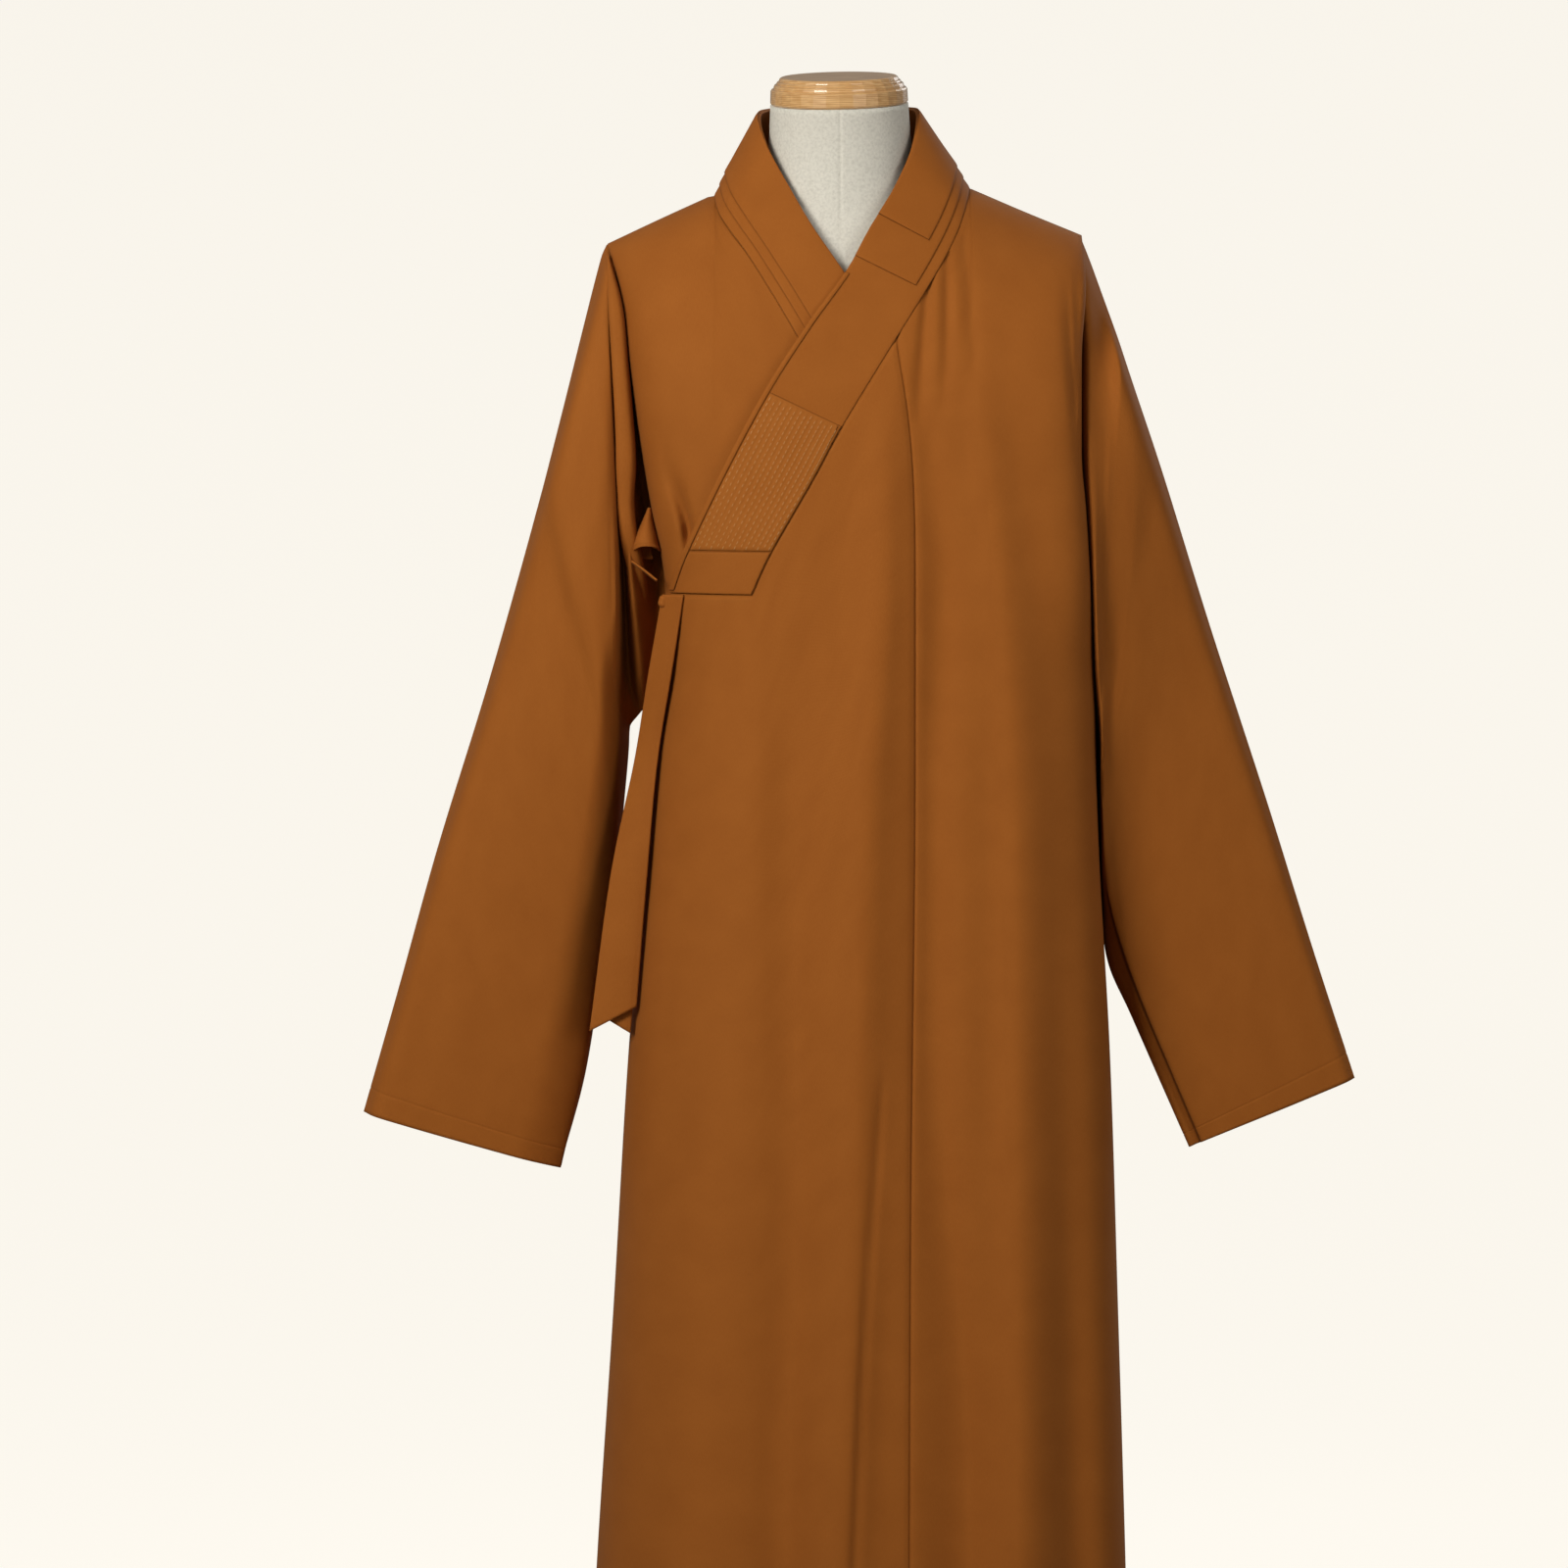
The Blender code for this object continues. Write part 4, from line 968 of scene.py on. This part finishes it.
for side_name, side, root, sections, upper_fold, back_sag, folded in (
    ("right", -1, RIGHT_ROOT, RIGHT_SECTIONS, 0.0, 0.0, 0.0),
    ("left", 1, LEFT_ROOT, LEFT_SECTIONS, 0.45, 0.006, 1.0),
):
    points = sleeve_points(sleeve_u, sleeve_v, root, sections, upper_fold, back_sag)
    points[..., 1] += folded * fold_back[:, None] * fold_down
    outward = normals(points, closed=True) * side
    stitch = np.exp(-(((sleeve_v - CUFF_HEM) / CUFF_STITCH_WIDTH) ** 2))[None, :, None]
    points = points - outward * CUFF_STITCH_DEPTH * stitch
    sleeves.append(
        cloth_piece(
            side_name + "_sleeve_cloth", points, "sleeve_" + side_name, closed=True, flip=side < 0,
        )
    )
    # Painted shade along the folded edge's crease, on the left sleeve only.
    add_shade(sleeves[-1], folded * fold_shade[:, None] * fold_down)

BUNCH = table(
    "down x half_width y depth z",
    (0, -168, 1.5, -52, 4, 1213),
    (300, -169.5, 5, -52, 9, 1201),
    (700, -170.8, 10.2, -54, 15, 1185),
    (1000, -171.2, 12.8, -55, 18, 1173.5),
)
BUNCH_LIP_ARCH, BUNCH_LIP = 0.0060, 0.0012


def bunch_points(u, v):
    """Bunched cloth: an open cone round an upright line from its point to an arched lower lip."""
    swing = math.radians(-115.0) + math.radians(280.0) * u
    x = read(BUNCH, "x", v) - read(BUNCH, "half_width", v) * np.cos(swing)
    y = read(BUNCH, "y", v) - read(BUNCH, "depth", v) * np.sin(swing)
    z = read(BUNCH, "z", v) + BUNCH_LIP_ARCH * np.sin(swing) * v
    lip = BUNCH_LIP * smooth(0.86, 1.0, v)
    return np.stack([x + lip, y + lip * np.sin(swing), z], axis=-1)


bunch = cloth_piece("underarm_bunch", bunch_points(*even_grid(49, 41)), flip=True)

ARMHOLE_FOLD = table(
    "down x half_width front z",
    (0, -205.3, 1.5, -14, 1435.6),
    (120, -198, 6.3, -50, 1392.1),
    (280, -193, 7.6, -64, 1332.9),
    (400, -190, 8.2, -69, 1292),
    (520, -188.3, 8.8, -71, 1252),
    (620, -188.8, 7.4, -69, 1220.7),
    (720, -186.2, 7.8, -65, 1189.4),
    (820, -180.1, 8, -52, 1158.9),
    (920, -174, 4.5, -30, 1124.1),
    (1000, -173.5, 2, -18, 1090),
)
FOLD_LEFT_DEPTH, FOLD_RIGHT_DEPTH = 0.006, 0.024


def armhole_fold_points(u, v):
    """Rolled fold: a squared half ellipse across, far deeper on its inner side, along a curve."""
    swing = math.pi * u
    x = read(ARMHOLE_FOLD, "x", v) - read(ARMHOLE_FOLD, "half_width", v) * squared(
        np.cos(swing), 0.8
    )
    depth = FOLD_LEFT_DEPTH + (FOLD_RIGHT_DEPTH - FOLD_LEFT_DEPTH) * u
    y = read(ARMHOLE_FOLD, "front", v) + depth * (1.0 - np.sin(swing) ** 0.5)
    return np.stack([x, y, read(ARMHOLE_FOLD, "z", v)], axis=-1)


armhole_fold = cloth_piece("armhole_fold", armhole_fold_points(*even_grid(41, 121)), flip=True)

# ----------------------------------------
# Neckband: a long straight band of doubled twill runs from the side tie up over the chest and
# round the neck. Two more layers are stepped on to it round the neck, and a narrow binding
# covers its free edge below them.

BAND_CLOTH, LAYER_CLOTH = 0.0018, 0.0010
EDGE_PRESS, EDGE_PRESS_WIDTH, SHADE_WIDTH = 0.0005, 0.0016, 0.0006
BAND_WIDTH = 0.084
STATION = 0.066


def over_shoulder(x, y, height):
    """Depth of cloth that rolls over the shoulder line, as a quarter ellipse."""
    ridge = read(RIDGE, "height", x)
    climb = np.clip((height - SHOULDER_ROLL_START) / (ridge - SHOULDER_ROLL_START), 0.0, 1.0)
    return SHOULDER_Y + (y - SHOULDER_Y) * np.sqrt(1.0 - climb * climb)


def chest_y(x, height, underlap):
    """How far forward the chest's cloth lies, where it rolls over the shoulder too."""
    turn = turn_at(x, height, underlap)
    flat_y = body_cloth(np.sin(turn), np.cos(turn), height, -1, 0.0, SKIRT_FOLDS)[1]
    return over_shoulder(x, flat_y + UNDERLAP * underlap, height)


def neckband(along, across):
    """Neckband: straight across from its sewn seam to its free edge, resting on the chest."""
    seam_x, seam_z = read(NECKBAND, "seam_x", along), read(NECKBAND, "seam_z", along)
    edge_x, edge_z = read(NECKBAND, "edge_x", along), read(NECKBAND, "edge_z", along)
    behind = (along >= LEFT_SHOULDER_STATION) & (along <= RIGHT_SHOULDER_STATION)
    underlap = read(NECKBAND, "underlap", along)
    front_y = chest_y(seam_x, seam_z, underlap)
    back_turn = turn_at(seam_x, seam_z, 0.0)
    back_y = body_cloth(np.sin(back_turn), np.cos(back_turn), seam_z, 1, 0.0)[1]
    seam_y = np.where(behind, over_shoulder(seam_x, back_y, seam_z), front_y)
    x = seam_x + (edge_x - seam_x) * across
    z = seam_z + (edge_z - seam_z) * across
    chest = read(NECKBAND, "chest", along)
    free_y = seam_y + (read(NECKBAND, "edge_y", along) - seam_y) * across
    y = chest * chest_y(x, z, underlap) + (1.0 - chest) * free_y
    return np.stack([x, y, z], axis=-1)


def band_layer(
    name, node, layer, across, along, counts, material=None, relief=None
):
    """Strip of the neckband lifted by the layers under it, its edges pressed down."""
    rim = np.array([0.0, 0.0006, 0.0014, 0.0026])
    u, v = np.linspace(*across, counts[0]), np.linspace(*along, counts[1])
    u = np.unique(np.concatenate([u, across[0] + rim / BAND_WIDTH, across[1] - rim / BAND_WIDTH]))
    v = np.unique(np.concatenate([v, along[0] + rim / STATION, along[1] - rim / STATION]))
    points = neckband(*grid(v, u)).transpose(1, 0, 2)
    from_side = np.minimum(u - across[0], across[1] - u)[:, None] * BAND_WIDTH
    from_end = np.minimum(v - along[0], along[1] - v)[None, :] * STATION
    from_edge = np.minimum(from_side, from_end)[..., None]
    lift = BAND_CLOTH / 2 + layer * (LAYER_CLOTH + GAP)
    lift = lift - EDGE_PRESS * np.exp(-((from_edge / EDGE_PRESS_WIDTH) ** 2))
    if relief:
        welts = relief(*grid((u - across[0]) / (across[1] - across[0]), v))[..., None]
        lift = lift + welts * smooth(0.001, 0.004, from_edge)
    points = points - normals(points) * lift
    piece = grid_mesh(name, points, flip=True)
    # Painted shade along the strip's sewn side and ends, where the step of the layer would shade.
    from_seam = np.minimum((u - across[0])[:, None] * BAND_WIDTH, from_end)
    add_shade(piece, np.exp(-((from_seam / SHADE_WIDTH) ** 2)))
    walled(piece, BAND_CLOTH if layer == 0 else LAYER_CLOTH)
    dress(piece, material or OCHRE, node)
    return piece


band = band_layer("neckband_cloth", "collar_base", 0, (0.0, 1.0), (0.0, 21.0), (28, 420))
second = band_layer("collar_second_cloth", "collar_second", 1, (0.14, 1.0), (5.35, 21.0), (22, 320))
top = band_layer("collar_top_cloth", "collar_top", 2, (0.28, 1.0), (6.35, 21.0), (20, 300))
binding = band_layer("edge_binding", "band_binding", 1, (0.94, 1.0), (0.06, 5.0), (6, 160))

# ----------------------------------------
# Patches on the band: a rectangle quilted with rows of running stitches in pale gold thread,
# and below it the plain doubled end of the band. Both are sewn flat on it along their edges.

PATCH_ALONG, PATCH_ACROSS = (1.015, 3.0), (0.012, 0.93)
END_ALONG = (0.0, 1.0)
STITCH_ROWS, STITCH_LENGTH, STITCH_PERIOD = 14, 0.0040, 0.0050
STITCH_WIDTH, STITCH_HEIGHT, WELT_HEIGHT = 0.0008, 0.0005, 0.00035
THREAD_COLOUR = (0.44, 0.215, 0.050, 1.0)

STITCHED = ochre_cloth("quilted_twill", (0.340, 0.108, 0.0180, 1.0), (0.295, 0.089, 0.0135, 1.0))


def quilted(u, v):
    """Lift of the quilted patch: fine welts between the stitch rows, as a rectified sine."""
    return WELT_HEIGHT * np.abs(np.sin(math.pi * STITCH_ROWS * u))


patch = band_layer(
    "quilted_patch",
    "stitched_patch",
    1,
    PATCH_ACROSS,
    PATCH_ALONG,
    (90, 90),
    material=STITCHED,
    relief=quilted,
)
end_patch = band_layer("band_end_patch", "end_patch", 1, PATCH_ACROSS, END_ALONG, (30, 40))

thread = Paint("gold_thread")
thread.set(Base_Color=THREAD_COLOUR, Roughness=0.45, Sheen_Weight=0.2)


def stitches(name, across, along, lift):
    """Running stitches: each is a small rounded bead laid along the band on its surface."""
    u, v = np.broadcast_arrays(across, along)
    centre = neckband(v, u)
    ahead = neckband(v + 0.01, u) - neckband(v - 0.01, u)
    aside = neckband(v, u + 0.01) - neckband(v, u - 0.01)
    ahead /= np.linalg.norm(ahead, axis=-1, keepdims=True)
    out = np.cross(ahead, aside)
    out /= np.linalg.norm(out, axis=-1, keepdims=True)
    aside = np.cross(out, ahead)
    turn, rise = grid(2.0 * math.pi * np.arange(6) / 6, np.array([0.1, 0.35, 0.65, 0.9]) * math.pi)
    bead = np.stack([np.cos(rise), np.sin(rise) * np.cos(turn), np.sin(rise) * np.sin(turn)], -1)
    size = np.array([STITCH_LENGTH / 2, STITCH_WIDTH / 2, STITCH_HEIGHT])
    bead = (bead * size).reshape(-1, 3)
    axes = np.stack([ahead, aside, out], axis=-2).reshape(-1, 3, 3)
    points = (centre + out * lift).reshape(-1, 1, 3) + np.einsum("kc,ncd->nkd", bead, axes)
    index = np.arange(24).reshape(6, 4)
    after = np.roll(index, -1, axis=0)
    quads = np.stack([index[:, :-1], after[:, :-1], after[:, 1:], index[:, 1:]], -1).reshape(-1, 4)
    first = 24 * np.arange(len(points))[:, None, None]
    faces = (quads + first).reshape(-1, 4).tolist()
    faces += (np.stack([index[::-1, 0], index[:, -1]]) + first).reshape(-1, 6).tolist()
    piece = mesh_piece(name, points, faces)
    dress(piece, thread.material)
    return piece


row_across = np.arange(STITCH_ROWS) + 0.5
row_across = PATCH_ACROSS[0] + (PATCH_ACROSS[1] - PATCH_ACROSS[0]) * row_across / STITCH_ROWS
row_along = np.arange(PATCH_ALONG[0] + 0.05, PATCH_ALONG[1] - 0.09, STITCH_PERIOD / STATION)
row_shift = 0.5 * STITCH_PERIOD / STATION * (np.arange(STITCH_ROWS) % 2)
patch_stitches = stitches(
    "patch_stitches",
    row_across[:, None],
    row_along[None, :] + row_shift[:, None],
    BAND_CLOTH / 2 + LAYER_CLOTH + GAP + 0.0001,
)

# ----------------------------------------
# Side tie: two ribbons of folded twill, knotted under the band's lower corner, hang down the
# side with slanted ends. A short strap joins the knot to the under layer.

FRONT_RIBBON = table(
    "along outer_x outer_z inner_x inner_z outer_y inner_y",
    (0, -156, 1137.2, -137.5, 1137.2, -81, -99),
    (180, -168, 1070, -148, 1070, -67, -83),
    (400, -180, 996, -160, 996, -56, -66),
    (700, -202, 890, -170, 890, -58, -68),
    (1000, -221, 752, -179.5, 774, -60, -66),
)
BACK_RIBBON = table(
    "along outer_x outer_z inner_x inner_z outer_y inner_y",
    (0, -156, 1118, -143, 1122, -75, -92),
    (180, -165, 1070, -149, 1070, -61, -77),
    (400, -176, 996, -161, 996, -50, -60),
    (700, -195, 890, -172, 890, -51, -60),
    (1000, -210, 765, -185, 750, -53, -59),
)
TIE_STRAP = table(
    "along outer_x outer_z inner_x inner_z outer_y inner_y",
    (0, -183.5, 1165, -183.5, 1166.5, -56, -67),
    (500, -172, 1157, -172, 1158.5, -64, -75),
    (1000, -161, 1148.5, -161, 1150, -72, -83),
)
RIBBON_CLOTH = 0.0016
RIBBON_CROWN = 0.0022
RIBBON_EDGE_CURL = 0.0012


def ribbon_points(columns, u, v):
    """Ribbon: straight between its two edges, crowned as a half sine, with a curl along its inner
    long edge.
    """
    point = []
    for axis in ("x", "y", "z"):
        outer, inner = read(columns, "outer_" + axis, v), read(columns, "inner_" + axis, v)
        point.append(outer + (inner - outer) * u)
    crown = RIBBON_CROWN * np.sin(math.pi * u) * np.sin(math.pi * np.clip(v, 0.0, 0.98))
    curl = RIBBON_EDGE_CURL * np.exp(-(((1.0 - u) / 0.12) ** 2)) * np.sin(5.0 * v)
    point[1] = point[1] - crown - curl
    return np.stack(point, axis=-1)


for name, node, columns, counts in (
    ("front_ribbon", "tie_front", FRONT_RIBBON, (26, 150)),
    ("back_ribbon", "tie_back", BACK_RIBBON, (18, 130)),
    ("short_strap", "tie_strap", TIE_STRAP, (10, 24)),
):
    points = ribbon_points(columns, *even_grid(*counts))
    piece = walled(grid_mesh(name, points, flip=True), RIBBON_CLOTH, offset=0.0)
    dress(piece, OCHRE, node)

KNOT_CENTRE = (-0.1553, -0.0800, 1.1310)
KNOT_RADII = (0.0046, 0.0045, 0.0060)


def knot_points(u, v):
    """Knot: a ball stretched to three radii, wrapped by two slanted turns as a sine ridge."""
    turn, rise = 2.0 * math.pi * u, math.pi * v
    wrap = 1.0 + 0.09 * np.sin(turn + 4.0 * math.pi * v)
    x = KNOT_CENTRE[0] + KNOT_RADII[0] * wrap * np.sin(rise) * np.cos(turn)
    y = KNOT_CENTRE[1] + KNOT_RADII[1] * wrap * np.sin(rise) * np.sin(turn)
    z = KNOT_CENTRE[2] - KNOT_RADII[2] * np.cos(rise)
    return np.stack([x, y, z], axis=-1)


knot = grid_mesh(
    "tie_knot_cloth",
    knot_points(*grid(np.linspace(0, 1, 37)[:-1], np.linspace(0.02, 0.98, 25))),
    closed=True,
    ends=True,
)
dress(knot, OCHRE, "tie_knot")
